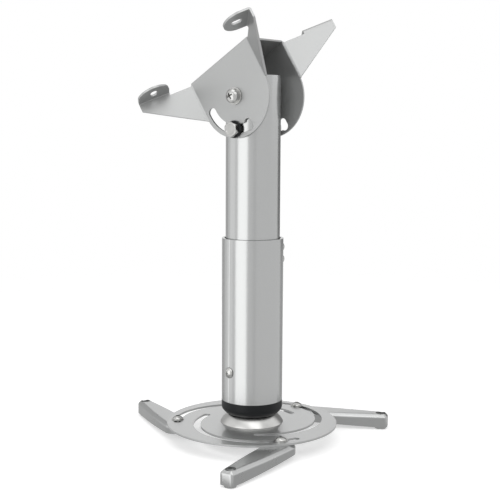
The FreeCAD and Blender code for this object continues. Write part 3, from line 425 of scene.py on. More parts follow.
def arc_cutters(radius, width, tall, start, sweep, steps):
    """A curved bar about Z, a square section spun along the arc, and two discs that round its ends."""
    bpy.ops.object.select_all(action="DESELECT")
    bpy.ops.mesh.primitive_plane_add(size=1, rotation=(math.pi / 2, 0, 0), location=(radius * MM, 0, 0))
    curved = bpy.context.active_object
    curved.scale = (width * MM, tall * MM, 1)
    settle(curved)
    bpy.ops.object.mode_set(mode="EDIT")
    bpy.ops.mesh.select_all(action="SELECT")
    bpy.ops.mesh.spin(steps=steps, angle=-math.radians(sweep), center=(0, 0, 0), axis=(0, 0, 1))
    bpy.ops.mesh.select_all(action="SELECT")
    bpy.ops.mesh.normals_make_consistent(inside=False)
    bpy.ops.object.mode_set(mode="OBJECT")
    cutters = [curved, rod(width / 2, tall, radius), turn(rod(width / 2, tall, radius), sweep)]
    return [turn(cutter, start) for cutter in cutters]


plate = rod(PLATE_RADIUS, PLATE_TOP - PLATE_LOW, sides=240)
carve(plate, rod(PLATE_OPENING, 10, sides=128))
for step in range(3):
    heading = SLOT_HEADING + 120 * step
    towards = math.radians(heading)
    centre = [SLOT_OFFSET * math.cos(towards), SLOT_OFFSET * math.sin(towards)]
    cutters = arc_cutters(SLOT_RADIUS, SLOT_WIDTH, 10, SLOT_START + 120 * step, SLOT_SWEEP, 96)
    carve(plate, *(move(cutter, *centre) for cutter in cutters))
soften(plate, 0.45, 3)
move(plate, *COLUMN, (PLATE_LOW + PLATE_TOP) / 2)
dress(plate, "plate_sheet", plate_lacquer, "plate", "plate_silver", "projector_plate")

# Ball joint. A bright dome is pressed from 1.5 mm sheet and spot welded under its rim to the plate. A nylon
# liner lies on it, and a spring-steel cup under it is drawn up by the clamp bolt.
DOME_RADIUS, DOME_WALL = 36.0, 1.5
DOME_HOLE, DOME_EDGE = 15.5, 31.17


def bright_metal(name, colour, roughness, scratch):
    """Bare or plated metal with fine turning marks."""
    material, finish = new_finish(name)
    place = finish.node("ShaderNodeTexCoord", out="Object")
    marks = finish.node("ShaderNodeTexNoise", values={"Vector": place, "Scale": 420.0, "Detail": 4.0})
    stain = finish.node("ShaderNodeTexNoise", values={"Vector": place, "Scale": 90.0, "Detail": 2.0})
    tone = finish.node(
        "ShaderNodeMix",
        {"data_type": "RGBA"},
        {
            "Factor": stain.step(0.3, 0.7),
            "A": (*(part * 0.93 for part in colour), 1),
            "B": (*colour, 1),
        },
        out="Result",
    )
    relief = finish.node(
        "ShaderNodeBump",
        values={"Strength": scratch, "Distance": 0.00004, "Height": marks},
    )
    skin = finish.node(
        "ShaderNodeBsdfPrincipled",
        values={
            "Base Color": tone,
            "Metallic": 1.0,
            "Roughness": roughness + 0.1 * (marks - 0.5),
            "Normal": relief,
        },
    )
    return surface(material, finish, skin)


def on_sphere(radius, edge):
    """Height over the middle of a sphere at a distance from its axis."""
    return math.sqrt(radius**2 - edge**2)


def arc_up(radius, first, last, steps):
    """Profile corners along a sphere, from one distance from its axis to another."""
    start, end = math.asin(first / radius), math.asin(last / radius)
    angles = [start + (end - start) * step / steps for step in range(steps + 1)]
    return [(radius * math.sin(angle), radius * math.cos(angle)) for angle in angles]


dome_metal = bright_metal("dome_bright", (0.48, 0.48, 0.47), 0.3, 0.05)
inside_edge = on_sphere(DOME_RADIUS - DOME_WALL, PLATE_TOP)
dome = turned(
    [
        *arc_up(DOME_RADIUS, DOME_HOLE, DOME_EDGE, 16),
        *arc_up(DOME_RADIUS - DOME_WALL, inside_edge, DOME_HOLE, 14),
    ]
)
soften(dome, 0.3)
move(dome, *COLUMN)
dress(dome, "dome_shell", dome_metal, "plate", "dome_bright", "ball_dome")


def moulded(name, colour, roughness, grain, sheen=0.5):
    """Moulded plastic with a fine eroded grain."""
    material, finish = new_finish(name)
    place = finish.node("ShaderNodeTexCoord", out="Object")
    texture = finish.node("ShaderNodeTexNoise", values={"Vector": place, "Scale": 1500.0, "Detail": 3.0})
    wear = finish.node("ShaderNodeTexNoise", values={"Vector": place, "Scale": 60.0, "Detail": 3.0})
    tone = finish.node(
        "ShaderNodeMix",
        {"data_type": "RGBA"},
        {
            "Factor": wear,
            "A": (*(part * 0.85 for part in colour), 1),
            "B": (*(part * 1.15 for part in colour), 1),
        },
        out="Result",
    )
    relief = finish.node(
        "ShaderNodeBump",
        values={"Strength": grain, "Distance": 0.00005, "Height": texture},
    )
    skin = finish.node(
        "ShaderNodeBsdfPrincipled",
        values={
            "Base Color": tone,
            "Roughness": roughness + 0.1 * (wear - 0.5),
            "Specular IOR Level": sheen,
            "Normal": relief,
        },
    )
    return surface(material, finish, skin)


def repaint(material, *nodes):
    """Give their material to CAD nodes whose shape is kept."""
    for name in nodes:
        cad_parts[name].data.materials.clear()
        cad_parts[name].data.materials.append(material)


nylon = moulded("white_nylon", (0.72, 0.72, 0.69), 0.4, 0.1)
spring_steel = bright_metal("spring_steel", (0.28, 0.28, 0.285), 0.34, 0.1)
zinc = bright_metal("bright_zinc", (0.46, 0.46, 0.45), 0.24, 0.05)
repaint(nylon, "ball_liner", "guide_bush", "guide_shoe")
repaint(spring_steel, "clamp_cup", "disc_springs")
repaint(zinc, "clamp_bolt", "clamp_nut", "spring_washers")

# Foot of the column. A black moulded ring is pushed into the outer tube and turns on the ball joint. A cast
# insert above it takes the disc springs and two screws through the tube.
TUBE_BOTTOM = 41.0
RING_LOW, RING_TOP = -13.5, 5.0
RING_RADIUS, RING_END, RING_SPIGOT = 30.0, 24.75, 27.4
RING_BORE, SEAT_RADIUS = 4.4, 37.0
RING_CURVE = ((0.0, 7.0), (0.35, 8.6), (1.3, 10.2), (2.8, 11.9), (4.3, 13.1))

black_plastic = moulded("black_plastic", (0.008, 0.009, 0.01), 0.36, 0.15, 0.22)
ring_end = TUBE_BOTTOM + RING_LOW
seat_edge = math.sqrt(SEAT_RADIUS**2 - ring_end**2)
ring = turned(
    [
        (RING_SPIGOT, RING_TOP + TUBE_BOTTOM),
        (RING_SPIGOT, TUBE_BOTTOM),
        (RING_RADIUS, TUBE_BOTTOM),
        *((RING_RADIUS - inset, TUBE_BOTTOM - drop) for inset, drop in RING_CURVE),
        (RING_END, ring_end),
        *arc_up(SEAT_RADIUS, seat_edge, RING_BORE, 14),
        (RING_BORE, RING_TOP + TUBE_BOTTOM),
    ]
)
soften(ring, 0.35, 2, 40)
move(ring, *COLUMN)
dress(ring, "black_ring", black_plastic, "column", "black_plastic", "end_ring")
repaint(bright_metal("cast_aluminium", (0.58, 0.59, 0.6), 0.38, 0.3), "column_insert")

# Outer tube. A drawn aluminium tube of 60 mm with a fine line along it that guides the drill, in smooth
# silver lacquer. Its rims are deburred, and it is drilled for the insert's and the height lock's screws.
TUBE_RADIUS, TUBE_WALL, TUBE_LENGTH = 30.0, 2.5, 160.0
LINE_HEADING, LINE_WIDTH, LINE_DEPTH = -101.0, 1.7, 0.34
INSERT_SCREW_HEIGHT, INSERT_HOLE = 30.0, 2.75
LOCK_HEADING, LOCK_HEIGHTS, LOCK_HOLE = 60.0, (138.0, 150.0), 3.05
DRILL_REACH = 40.0

tube_lacquer = silver_lacquer("tube_silver", 1.1, 0.22, 0.15, 0.35)


def radial(radius, reach, height, heading):
    """A drill that stands out of the tube's axis at a height and a heading."""
    return turn(rod(radius, reach, reach / 2, 0, height, turn=(0, math.pi / 2, 0)), heading)


outer = turned(
    [
        (TUBE_RADIUS - TUBE_WALL, 0),
        (TUBE_RADIUS, 0),
        (TUBE_RADIUS, TUBE_LENGTH),
        (TUBE_RADIUS - TUBE_WALL, TUBE_LENGTH),
    ],
    240,
)
# The line's cutter is a four-sided rod, half sunk in the tube's face.
line = rod(LINE_DEPTH, TUBE_LENGTH + 4, 0, 0, TUBE_LENGTH / 2, sides=4)
line.scale = (1, LINE_WIDTH / 2 / LINE_DEPTH, 1)
carve(outer, turn(move(settle(line), TUBE_RADIUS), LINE_HEADING))
for heading in (LINE_HEADING, LINE_HEADING + 180):
    carve(outer, radial(INSERT_HOLE, DRILL_REACH, INSERT_SCREW_HEIGHT, heading))
for height in LOCK_HEIGHTS:
    carve(outer, radial(LOCK_HOLE, DRILL_REACH, height, LOCK_HEADING))
soften(outer, 0.35, 2, 30)
move(outer, *COLUMN, TUBE_BOTTOM)
dress(outer, "outer_tube_skin", tube_lacquer, "column", "tube_silver", "outer_tube")


# Screws of the column. Two dome heads hold the insert, front and back, and two pan heads at the back clamp
# the upper tube at its height. All have cross recesses and are zinc plated.
INSERT_SCREW = {"shank": 2.5, "length": 9.0, "head": 5.3, "height": 3.4, "cross": (1.1, 5.0, 1.6)}
LOCK_SCREW = {"shank": 3.0, "length": 3.35, "head": 5.25, "height": 3.6, "cross": (1.2, 5.4, 1.8)}
SCREW_RIM, CROSS_TAPER = 0.5, 0.45


def dome_profile(radius, height, rim, steps=9):
    """Corners of a domed head over a short straight rim, from the rim to the top."""
    rise = height - rim
    reach = (radius**2 + rise**2) / (2 * rise)
    half = math.asin(radius / reach)
    angles = [half * (1 - step / steps) for step in range(steps)]
    return [(reach * math.sin(angle), rim + rise - reach + reach * math.cos(angle)) for angle in angles]


def cross_cutter(width, reach, depth, top):
    """The tapered cross of a driver's tip, by a blade's width, its reach at the top and its depth."""
    blades = []
    for angle in (0, 90):
        bpy.ops.object.select_all(action="DESELECT")
        bpy.ops.mesh.primitive_cone_add(
            vertices=4, radius1=reach / 2 * CROSS_TAPER * MM, radius2=reach / 2 * MM,
            depth=(depth + 1) * MM,
        )
        blade = settle(bpy.context.active_object)
        blade.rotation_euler = (0, 0, math.pi / 4)
        settle(blade)
        blade.scale = (math.sqrt(2), width / reach * math.sqrt(2), 1)
        settle(blade)
        blades.append(move(turn(blade, angle), 0, 0, top - depth + (depth + 1) / 2))
    return blades


def cross_screw(shank, length, head, height, cross):
    """A domed screw about Z with a cross recess. Its head stands on zero and its shank points down."""
    screw = turned(
        [
            (shank * 0.9, -length),
            (shank, -length + 0.6),
            (shank, 0),
            (head, 0),
            *dome_profile(head, height, SCREW_RIM),
        ],
        48, solid=True,
    )
    carve(screw, *cross_cutter(*cross, height))
    soften(screw, 0.12, 2, 30)
    return screw


def outward(piece, reach, height, heading):
    """Turn a piece from Z to a heading out of the column, at a reach and a height over the tube's end."""
    turn(piece, 90, "Y")
    move(piece, reach)
    turn(piece, heading)
    return move(piece, *COLUMN, TUBE_BOTTOM + height)


for name, heading in (("insert_screw_front", LINE_HEADING), ("insert_screw_back", LINE_HEADING + 180)):
    screw = outward(cross_screw(**INSERT_SCREW), TUBE_RADIUS, INSERT_SCREW_HEIGHT, heading)
    dress(screw, name, zinc, "column", "bright_fastener", "insert_screws")
for name, height in zip(("lock_screw_low", "lock_screw_high"), LOCK_HEIGHTS):
    screw = outward(cross_screw(**LOCK_SCREW), TUBE_RADIUS, height, LOCK_HEADING)
    dress(screw, name, zinc, "column", "bright_fastener", "height_lock_screws")

# Upper tube. A 53 mm tube in the same lacquer slides in the outer one on nylon guides. It is cross drilled
# near its upper end for the pivot bolt and the tilt clamp bolt.
UPPER_RADIUS, UPPER_WALL, UPPER_LOW, UPPER_TOP = 26.5, 2.0, 97.0, 357.0
PIVOT_HEIGHT, CLAMP_DROP = 337.0, 31.0
CROSS_HOLE = 4.25

upper = turned(
    [
        (UPPER_RADIUS - UPPER_WALL, UPPER_LOW),
        (UPPER_RADIUS, UPPER_LOW),
        (UPPER_RADIUS, UPPER_TOP),
        (UPPER_RADIUS - UPPER_WALL, UPPER_TOP),
    ],
    240,
)
for height in (PIVOT_HEIGHT, PIVOT_HEIGHT - CLAMP_DROP):
    carve(upper, rod(CROSS_HOLE, 70, 0, 0, height, turn=(math.pi / 2, 0, 0)))
soften(upper, 0.3, 2, 30)
move(upper, *COLUMN)
dress(upper, "upper_tube_skin", tube_lacquer, "mast", "tube_silver", "upper_tube")

# Arms. Three die-cast arms taper from a round root under the plate to a narrow tip with a recessed hole for
# the projector's screw. Their shoulders are bevelled, their undersides slope to a small round foot.
ARM_LENGTH, ARM_ROOT, ARM_TIP, ARM_BOW = 88.0, 13.5, 7.25, 700.0
ARM_TOP, ARM_ROOT_DEPTH, ARM_TIP_DEPTH = 16.0, 10.5, 13.5
ARM_SHOULDER, SHOULDER_ROUND, SHOULDER_STEPS = 3.2, 1.0, 3
TIP_CORNER, TIP_HOLE, RECESS_RADIUS, RECESS_DEPTH = 3.6, 2.4, 5.0, 3.0
FOOT_RADIUS, BOLT_HOLE = 5.6, 3.08
POCKET_RADIUS, POCKET_DEPTH = 10.0 / math.sqrt(3) + 0.4, 5.8
ARMS = (  # number, the bolt's place beside the column and the heading
    (1, (-60.65, -42.11), 153.5),
    (2, (3.31, 73.46), 25.0),
    (3, (62.93, -38.19), -84.5),
)

arm_lacquer = silver_lacquer("arm_silver", 1.08, 0.28, 0.2, 0.7)
to_root, to_tip = ARM_BOW - ARM_ROOT, ARM_BOW - ARM_TIP
bow_middle = (to_root**2 - to_tip**2 + ARM_LENGTH**2) / (2 * ARM_LENGTH)
bow_drop = math.sqrt(to_root**2 - bow_middle**2)


def shoulder_levels():
    """Height and inset down the arm's shoulder: a bevel at 45 degrees whose two edges are rounded."""
    round_radius = SHOULDER_ROUND / math.tan(math.radians(22.5))
    steps = [math.radians(45 * step / SHOULDER_STEPS) for step in range(SHOULDER_STEPS + 1)]
    across = [ARM_SHOULDER + SHOULDER_ROUND - round_radius * math.sin(step) for step in steps]
    rise = [round_radius * (1 - math.cos(step)) for step in steps]
    upper = [(-low, inset) for low, inset in zip(rise, across)]
    lower = [(-low, inset) for low, inset in zip(reversed(across), reversed(rise))]
    return [*upper, *lower, (-ARM_TIP_DEPTH - 2.0, 0.0)]


def arm_blank():
    """The arm as a hull over discs along its length, which grow from its top down its shoulder."""
    circles = []
    for height, inset in shoulder_levels():
        corner = max(TIP_CORNER, inset + 0.3)
        outline = [(0.0, 0.0, ARM_ROOT, 96)]
        for step in range(1, 10):
            x = (ARM_LENGTH - 2) * step / 10
            outline.append((x, 0.0, ARM_BOW - math.hypot(x - bow_middle, bow_drop), 96))
        for side in (-1, 1):
            outline.append((ARM_LENGTH + ARM_TIP - corner, side * (ARM_TIP - corner), corner, 48))
        for x, y, radius, sides in outline:
            bpy.ops.object.select_all(action="DESELECT")
            bpy.ops.mesh.primitive_circle_add(
                vertices=sides, radius=(radius - inset) * MM, location=(x * MM, y * MM, height * MM)
            )
            circles.append(settle(bpy.context.active_object))
    alone(circles[0])
    for circle in circles:
        circle.select_set(True)
    bpy.ops.object.join()
    blank = bpy.context.active_object
    bpy.ops.object.mode_set(mode="EDIT")
    bpy.ops.mesh.select_all(action="SELECT")
    bpy.ops.mesh.convex_hull()
    bpy.ops.mesh.select_all(action="SELECT")
    bpy.ops.mesh.remove_doubles(threshold=0.00001)
    bpy.ops.mesh.dissolve_limited(angle_limit=math.radians(0.1))
    slope = (ARM_TIP_DEPTH - ARM_ROOT_DEPTH) / (ARM_LENGTH - ARM_TIP - ARM_ROOT)
    for point, normal in (
        ((ARM_ROOT, 0, -ARM_ROOT_DEPTH), (-slope, 0, -1)),
        ((0, 0, -ARM_TIP_DEPTH), (0, 0, -1)),
    ):
        bpy.ops.mesh.select_all(action="SELECT")
        bpy.ops.mesh.bisect(
            plane_co=[part * MM for part in point], plane_no=normal, use_fill=True, clear_outer=True
        )
    bpy.ops.object.mode_set(mode="OBJECT")
    return blank


def pick(piece, kind, test):
    """In edit mode, select the vertices, edges or faces that pass a test."""
    bpy.ops.mesh.select_mode(type=kind)
    bpy.ops.mesh.select_all(action="DESELECT")
    mesh = bmesh.from_edit_mesh(piece.data)
    mesh.normal_update()
    for part in {"VERT": mesh.verts, "EDGE": mesh.edges, "FACE": mesh.faces}[kind]:
        if test(part):
            part.select_set(True)
    bmesh.update_edit_mesh(piece.data)


arm_start = arm_blank()
foot = rod(FOOT_RADIUS, ARM_TOP - 1, ARM_LENGTH, 0, -(ARM_TOP + 1) / 2)
modify(arm_start, "BOOLEAN", operation="UNION", solver="EXACT", object=foot)
bpy.data.objects.remove(foot)
carve(
    arm_start,
    rod(BOLT_HOLE, 50),
    rod(POCKET_RADIUS, 12, 0, 0, -ARM_ROOT_DEPTH - 6 + POCKET_DEPTH),
    rod(TIP_HOLE, 50, ARM_LENGTH),
    rod(RECESS_RADIUS, 2 * RECESS_DEPTH, ARM_LENGTH),
)
soften(arm_start, 0.5, 3, 25)
for number, place, heading in ARMS:
    arm = arm_start.copy()
    arm.data = arm_start.data.copy()
    bpy.context.scene.collection.objects.link(arm)
    turn(arm, heading)
    move(arm, COLUMN[0] + place[0], COLUMN[1] + place[1], ARM_TOP)
    dress(arm, f"arm_casting_{number}", arm_lacquer, f"arm_{number}", "arm_silver", f"arm_{number}")
bpy.data.objects.remove(arm_start)

# Arm bolts. A button-head M6 bolt with a hexagon socket stands on a washer over each slot and pulls the
# arm up with a nut sunk in the arm's underside. All are zinc plated.
HEAD_RADIUS, HEAD_HEIGHT, HEAD_RIM, HEAD_SPIN = 5.25, 3.3, 0.6, 17
KEY_WIDTH, KEY_DEPTH = 4.0, 1.8
WASHER_RADIUS, WASHER_DEPTH = 6.2, 0.8
NUT_WIDTH, NUT_HEIGHT, NUT_LOW, NUT_SPIN = 10.0, 5.0, 5.9, 30
SHANK, SHANK_BEVEL, THREAD_GAP = 3.0, 0.5, 0.05


def six_sided(width, height, middle, spin=0.0):
    """A hexagonal bar about Z, by its width across the flats."""
    return turn(rod(width / math.sqrt(3), height, 0, 0, middle, sides=6), spin)


def nut(width, height, bore):
    """A hexagon nut on zero: its corners are turned off at both ends and its thread is countersunk."""
    piece = six_sided(width, height, height / 2)
    flat, corner = width / 2 - 0.1, width / math.sqrt(3) + 0.2
    slope = math.tan(math.radians(30))
    ends = (flat - 0.5 / slope, (corner - flat) * slope)
    envelope = turned(
        [(ends[0], -0.5), (corner, ends[1]), (corner, height - ends[1]), (ends[0], height + 0.5)],
        96, solid=True,
    )
    modify(piece, "BOOLEAN", operation="INTERSECT", solver="EXACT", object=envelope)
    bpy.data.objects.remove(envelope)
    carve(
        piece,
        turned(
            [(bore + 1.5, -1), (bore, 0.5), (bore, height - 0.5), (bore + 1.5, height + 1)], 48, solid=True
        ),
    )
    soften(piece, 0.1, 2, 20)
    return piece


def flat_ring(bore, radius, height):
    """A stamped washer on zero, its upper edge rolled by the punch."""
    ring_piece = turned([(bore, 0), (radius, 0), (radius, height), (bore, height)], 96)
    soften(ring_piece, min(0.22, height / 4), 2, 30)
    return ring_piece


bolt_end = NUT_LOW - PLATE_TOP - WASHER_DEPTH
for number, place, heading in ARMS:
    spot = (COLUMN[0] + place[0], COLUMN[1] + place[1])
    bolt = turned(
        [
            (SHANK - SHANK_BEVEL, bolt_end),
            (SHANK, bolt_end + SHANK_BEVEL),
            (SHANK, 0),
            (HEAD_RADIUS, 0),
            *dome_profile(HEAD_RADIUS, HEAD_HEIGHT, HEAD_RIM),
        ],
        64, solid=True,
    )
    carve(bolt, six_sided(KEY_WIDTH, 4, HEAD_HEIGHT - KEY_DEPTH + 2))
    soften(bolt, 0.1, 2, 30)
    turn(bolt, heading + HEAD_SPIN)
    move(bolt, *spot, PLATE_TOP + WASHER_DEPTH)
    washer = move(flat_ring(SHANK + THREAD_GAP, WASHER_RADIUS, WASHER_DEPTH), *spot, PLATE_TOP)
    sunk_nut = move(turn(nut(NUT_WIDTH, NUT_HEIGHT, SHANK + THREAD_GAP), NUT_SPIN), *spot, NUT_LOW)
    for piece, name, node in (
        (bolt, "button_bolt", "arm_bolt"),
        (washer, "slot_washer", "arm_washer"),
        (sunk_nut, "sunk_nut", "arm_nut"),
    ):
        dress(piece, f"{name}_{number}", zinc, f"slider_{number}", "bright_fastener", f"{node}_{number}")

# Ceiling bracket. One blank of 2 mm steel sheet is folded into a channel with round cheeks. Its four ears
# are turned out at the ends and their tabs folded flat. It tilts on the pivot and clamps in the arc slots.
SHEET = 2.0
CHEEK_FACE, CHEEK_RADIUS, WEB_TOP = 29.0, 39.5, 39.5
HALF_LENGTH, WEB_BEND, EAR_BEND, TAB_BEND = 39.5, 3.0, 1.2, 0.5
EAR_LOW, EAR_LENGTH, EAR_TIP_LOW = -3.0, 54.0, 31.0
TAB_START, TAB_UNDER, TAB_REACH = 22.5, 39.0, 24.0
TAB_HOLE, TAB_HOLE_WIDTH, TAB_HOLE_LENGTH = 11.5, 7.0, 10.5
TILT = 32.0
ARC_RADIUS, ARC_WIDTH, ARC_SWEEP, LOBE = 31.0, 8.8, 92.0, 12.5
WEB_HOLE_PLACE, WEB_HOLE_RADIUS, PIVOT_HOLE = 27.0, 3.0, 4.08
CLOSE = 0.00001

bracket_lacquer = silver_lacquer("bracket_silver", 0.94, 0.4, 0.1, 0.6, metallic=0.76)
slant = math.sqrt(0.5)


def near(value, wanted):
    """Whether a length in metres is the wanted one in millimetres."""
    return abs(value - wanted * MM) < CLOSE


def push(x=0.0, y=0.0, z=0.0):
    """Extrude the selected edges and shift the new ones, in millimetres."""
    bpy.ops.mesh.extrude_edges_move(TRANSFORM_OT_translate={"value": (x * MM, y * MM, z * MM)})


def vertical_at(x, y, low, high):
    """A test for the upright edge at one place."""
    return lambda edge: all(
        near(vertex.co.x, x)
        and near(vertex.co.y, y)
        and low * MM - CLOSE < vertex.co.z < high * MM + CLOSE
        for vertex in edge.verts
    )


bpy.ops.object.select_all(action="DESELECT")
bpy.ops.mesh.primitive_plane_add(size=1, location=(0, 0, WEB_TOP * MM))
bracket = bpy.context.active_object
bracket.scale = (2 * HALF_LENGTH * MM, 2 * CHEEK_FACE * MM, 1)
settle(bracket)
bpy.ops.object.mode_set(mode="EDIT")
pick(bracket, "EDGE", lambda edge: abs(edge.verts[0].co.y - edge.verts[1].co.y) < CLOSE)
levels = (WEB_TOP, WEB_TOP - WEB_BEND, EAR_LOW, -CHEEK_RADIUS)
for height, next_height in zip(levels, levels[1:]):
    push(z=next_height - height)
# An ear grows out of its cheek's upright end, bare at first and then under its tab, which is drawn last.
ear_rise = (EAR_TIP_LOW - EAR_LOW) / EAR_LENGTH
for end in (-1, 1):
    for side in (-1, 1):
        reach, foot_height = 0.0, EAR_LOW
        for next_reach in (TAB_START, EAR_LENGTH):
            corner = (end * (HALF_LENGTH + reach * slant), side * (CHEEK_FACE + reach * slant))
            pick(bracket, "EDGE", vertical_at(*corner, foot_height, WEB_TOP - WEB_BEND))
            step = (next_reach - reach) * slant
            push(end * step, side * step)
            corner = (end * (HALF_LENGTH + next_reach * slant), side * (CHEEK_FACE + next_reach * slant))
            pick(
                bracket, "VERT",
                lambda vertex: near(vertex.co.x, corner[0]) and near(vertex.co.y, corner[1])
                and near(vertex.co.z, foot_height),
            )
            next_height = EAR_LOW + ear_rise * next_reach
            bpy.ops.transform.translate(value=(0, 0, (next_height - foot_height) * MM))
            reach, foot_height = next_reach, next_height
        pick(
            bracket, "EDGE",
            lambda edge: all(
                near(vertex.co.z, WEB_TOP - WEB_BEND)
                and (TAB_START - 1) * slant * MM < end * vertex.co.x - HALF_LENGTH * MM
                and side * vertex.co.y > CHEEK_FACE * MM
                for vertex in edge.verts
            ),
        )
        push(z=TAB_UNDER - WEB_TOP + WEB_BEND)
        push(-end * TAB_REACH * slant, side * TAB_REACH * slant)
bpy.ops.mesh.select_all(action="SELECT")
bpy.ops.mesh.remove_doubles(threshold=WELD)
bpy.ops.mesh.normals_make_consistent(inside=False)


def fold(test, radius, segments):
    """Round a fold of the sheet."""
    pick(bracket, "EDGE", lambda edge: len(edge.link_faces) == 2 and test(edge))
    bpy.ops.mesh.bevel(offset=radius * MM, offset_type="OFFSET", segments=segments, clamp_overlap=True)
    bpy.ops.mesh.select_all(action="SELECT")
    bpy.ops.mesh.remove_doubles(threshold=WELD)


def along_tab_fold(edge):
    """Whether an edge is the one that a tab is folded at."""
    return all(
        near(vertex.co.z, TAB_UNDER)
        and near(abs(vertex.co.x) - abs(vertex.co.y), HALF_LENGTH - CHEEK_FACE)
        for vertex in edge.verts
    )


def tab_corner(vertex):
    """Whether a vertex is a corner of a tab's free end."""
    off = abs(vertex.co.y) - CHEEK_FACE * MM - abs(vertex.co.x) + HALF_LENGTH * MM
    return near(vertex.co.z, TAB_UNDER) and off > (TAB_REACH * math.sqrt(2) - 0.5) * MM


tab_round = (EAR_LENGTH - TAB_START) / 2 * 0.999
pick(bracket, "VERT", tab_corner)
bpy.ops.mesh.bevel(offset=tab_round * MM, segments=20, affect="VERTICES", clamp_overlap=False)
fold(along_tab_fold, TAB_BEND, 3)
for end in (-1, 1):
    for side in (-1, 1):
        fold(vertical_at(end * HALF_LENGTH, side * CHEEK_FACE, EAR_LOW, WEB_TOP - WEB_BEND), EAR_BEND, 4)
fold(
    lambda edge: all(
        near(vertex.co.z, WEB_TOP) and near(abs(vertex.co.y), CHEEK_FACE) for vertex in edge.verts
    ),
    WEB_BEND, 8,
)
bpy.ops.mesh.normals_make_consistent(inside=False)
bpy.ops.object.mode_set(mode="OBJECT")
web = max(bracket.data.polygons, key=lambda face: face.area if near(face.center.z, WEB_TOP) else 0)
modify(
    bracket, "SOLIDIFY", thickness=SHEET * MM, offset=-1 if web.normal.z > 0 else 1,
    use_even_offset=True, use_quality_normals=True,
)
# Below the ears the cheeks end in a half circle about the pivot.
skirt = bar(140, 140, 60, 0, 0, EAR_LOW - 0.1 - 30)
carve(skirt, rod(CHEEK_RADIUS, 200, turn=(math.pi / 2, 0, 0), sides=192))
carve(bracket, skirt)
# The arc slots' cutters are made flat, and then turned so that the slots start straight under the pivot.
lobe_half = (LOBE - ARC_WIDTH) / 2
cutters = [
    *arc_cutters(ARC_RADIUS, ARC_WIDTH, 100, 0, ARC_SWEEP, 64),
    rod(ARC_WIDTH / 2, 100, ARC_RADIUS - lobe_half),
    rod(ARC_WIDTH / 2, 100, ARC_RADIUS + lobe_half),
    bar(2 * lobe_half, ARC_WIDTH, 100, ARC_RADIUS),
]
for cutter in cutters:
    cutter.matrix_world = Matrix(((0, -1, 0), (0, 0, 1), (-1, 0, 0))).to_4x4()
    carve(bracket, settle(cutter))
carve(
    bracket,
    rod(PIVOT_HOLE, 100, turn=(math.pi / 2, 0, 0)),
    rod(WEB_HOLE_RADIUS, 20, WEB_HOLE_PLACE, 0, WEB_TOP),
)
tab_middle = (TAB_START + EAR_LENGTH) / 2
half = (TAB_HOLE_LENGTH - TAB_HOLE_WIDTH) / 2
for end in (-1, 1):
    for side in (-1, 1):
        x = end * (HALF_LENGTH + (tab_middle - TAB_HOLE) * slant)
        y = side * (CHEEK_FACE + (tab_middle + TAB_HOLE) * slant)
        holes = (
            rod(TAB_HOLE_WIDTH / 2, 10, half),
            rod(TAB_HOLE_WIDTH / 2, 10, -half),
            bar(2 * half, TAB_HOLE_WIDTH, 10),
        )
        for hole in holes:
            turn(hole, -45 if end == side else 45)
            carve(bracket, move(hole, x, y, TAB_UNDER + SHEET / 2))
soften(bracket, 0.28, 2, 40)
pivot_place = Matrix.Translation(on_axis(PIVOT_HEIGHT * MM))
bracket.matrix_world = pivot_place @ Matrix.Rotation(math.radians(-TILT), 4, "Y")
dress(bracket, "bracket_sheet", bracket_lacquer, "bracket", "bracket_silver", "ceiling_bracket")

# Pivot. An M8 bolt with a cross-recessed pan head, a spring lock washer and flat washers goes through both
# cheeks and the tube. The bracket turns on it.
PIVOT_SHANK, PIVOT_END, PIVOT_THREAD = 4.0, 39.6, 14
THREAD_PITCH, THREAD_ROOT, THREAD_BEVEL = 1.25, 0.87, 0.9
PAN_RADIUS, PAN_HEIGHT, PAN_RIM, PAN_SEAT = 6.6, 5.2, 1.9, -32.6
PAN_CROSS, PAN_SPIN = (1.8, 8.4, 3.0), 28
WASHER_BORE, FLAT_RADIUS, FLAT_DEPTH = 4.1, 8.2, 1.6
LOCK_RADIUS, LOCK_DEPTH = 6.8, 2.0
SPLIT_WIDTH, SPLIT_SLANT, SPLIT_PLACE = 1.2, 20, 70
M8_NUT_WIDTH, M8_NUT_HEIGHT, M8_NUT_SPIN = 13.0, 6.5, 12


def across_cheeks(piece, offset, height):
    """Lay a piece that was made about Z across the column, its top to the front."""
    turn(piece, 90, "X")
    return move(piece, COLUMN[0], COLUMN[1] + offset, height)


def add_shank(head, radius, length, thread_length):
    """Join a shank under a head that stands on zero: plain, then ridges of thread to a bevelled end."""
    corners = [(radius, 0.5)]
    depth = length - thread_length
    while depth < length - THREAD_BEVEL - THREAD_PITCH:
        corners += [(radius, -depth), (radius * THREAD_ROOT, -depth - THREAD_PITCH / 2)]
        depth += THREAD_PITCH
    corners += [(radius, -depth), (radius, -length + THREAD_BEVEL), (radius - THREAD_BEVEL, -length)]
    shank = turned(corners, 48, solid=True)
    soften(shank, 0.06, 1, 30)
    modify(head, "BOOLEAN", operation="UNION", solver="EXACT", object=shank)
    bpy.data.objects.remove(shank)


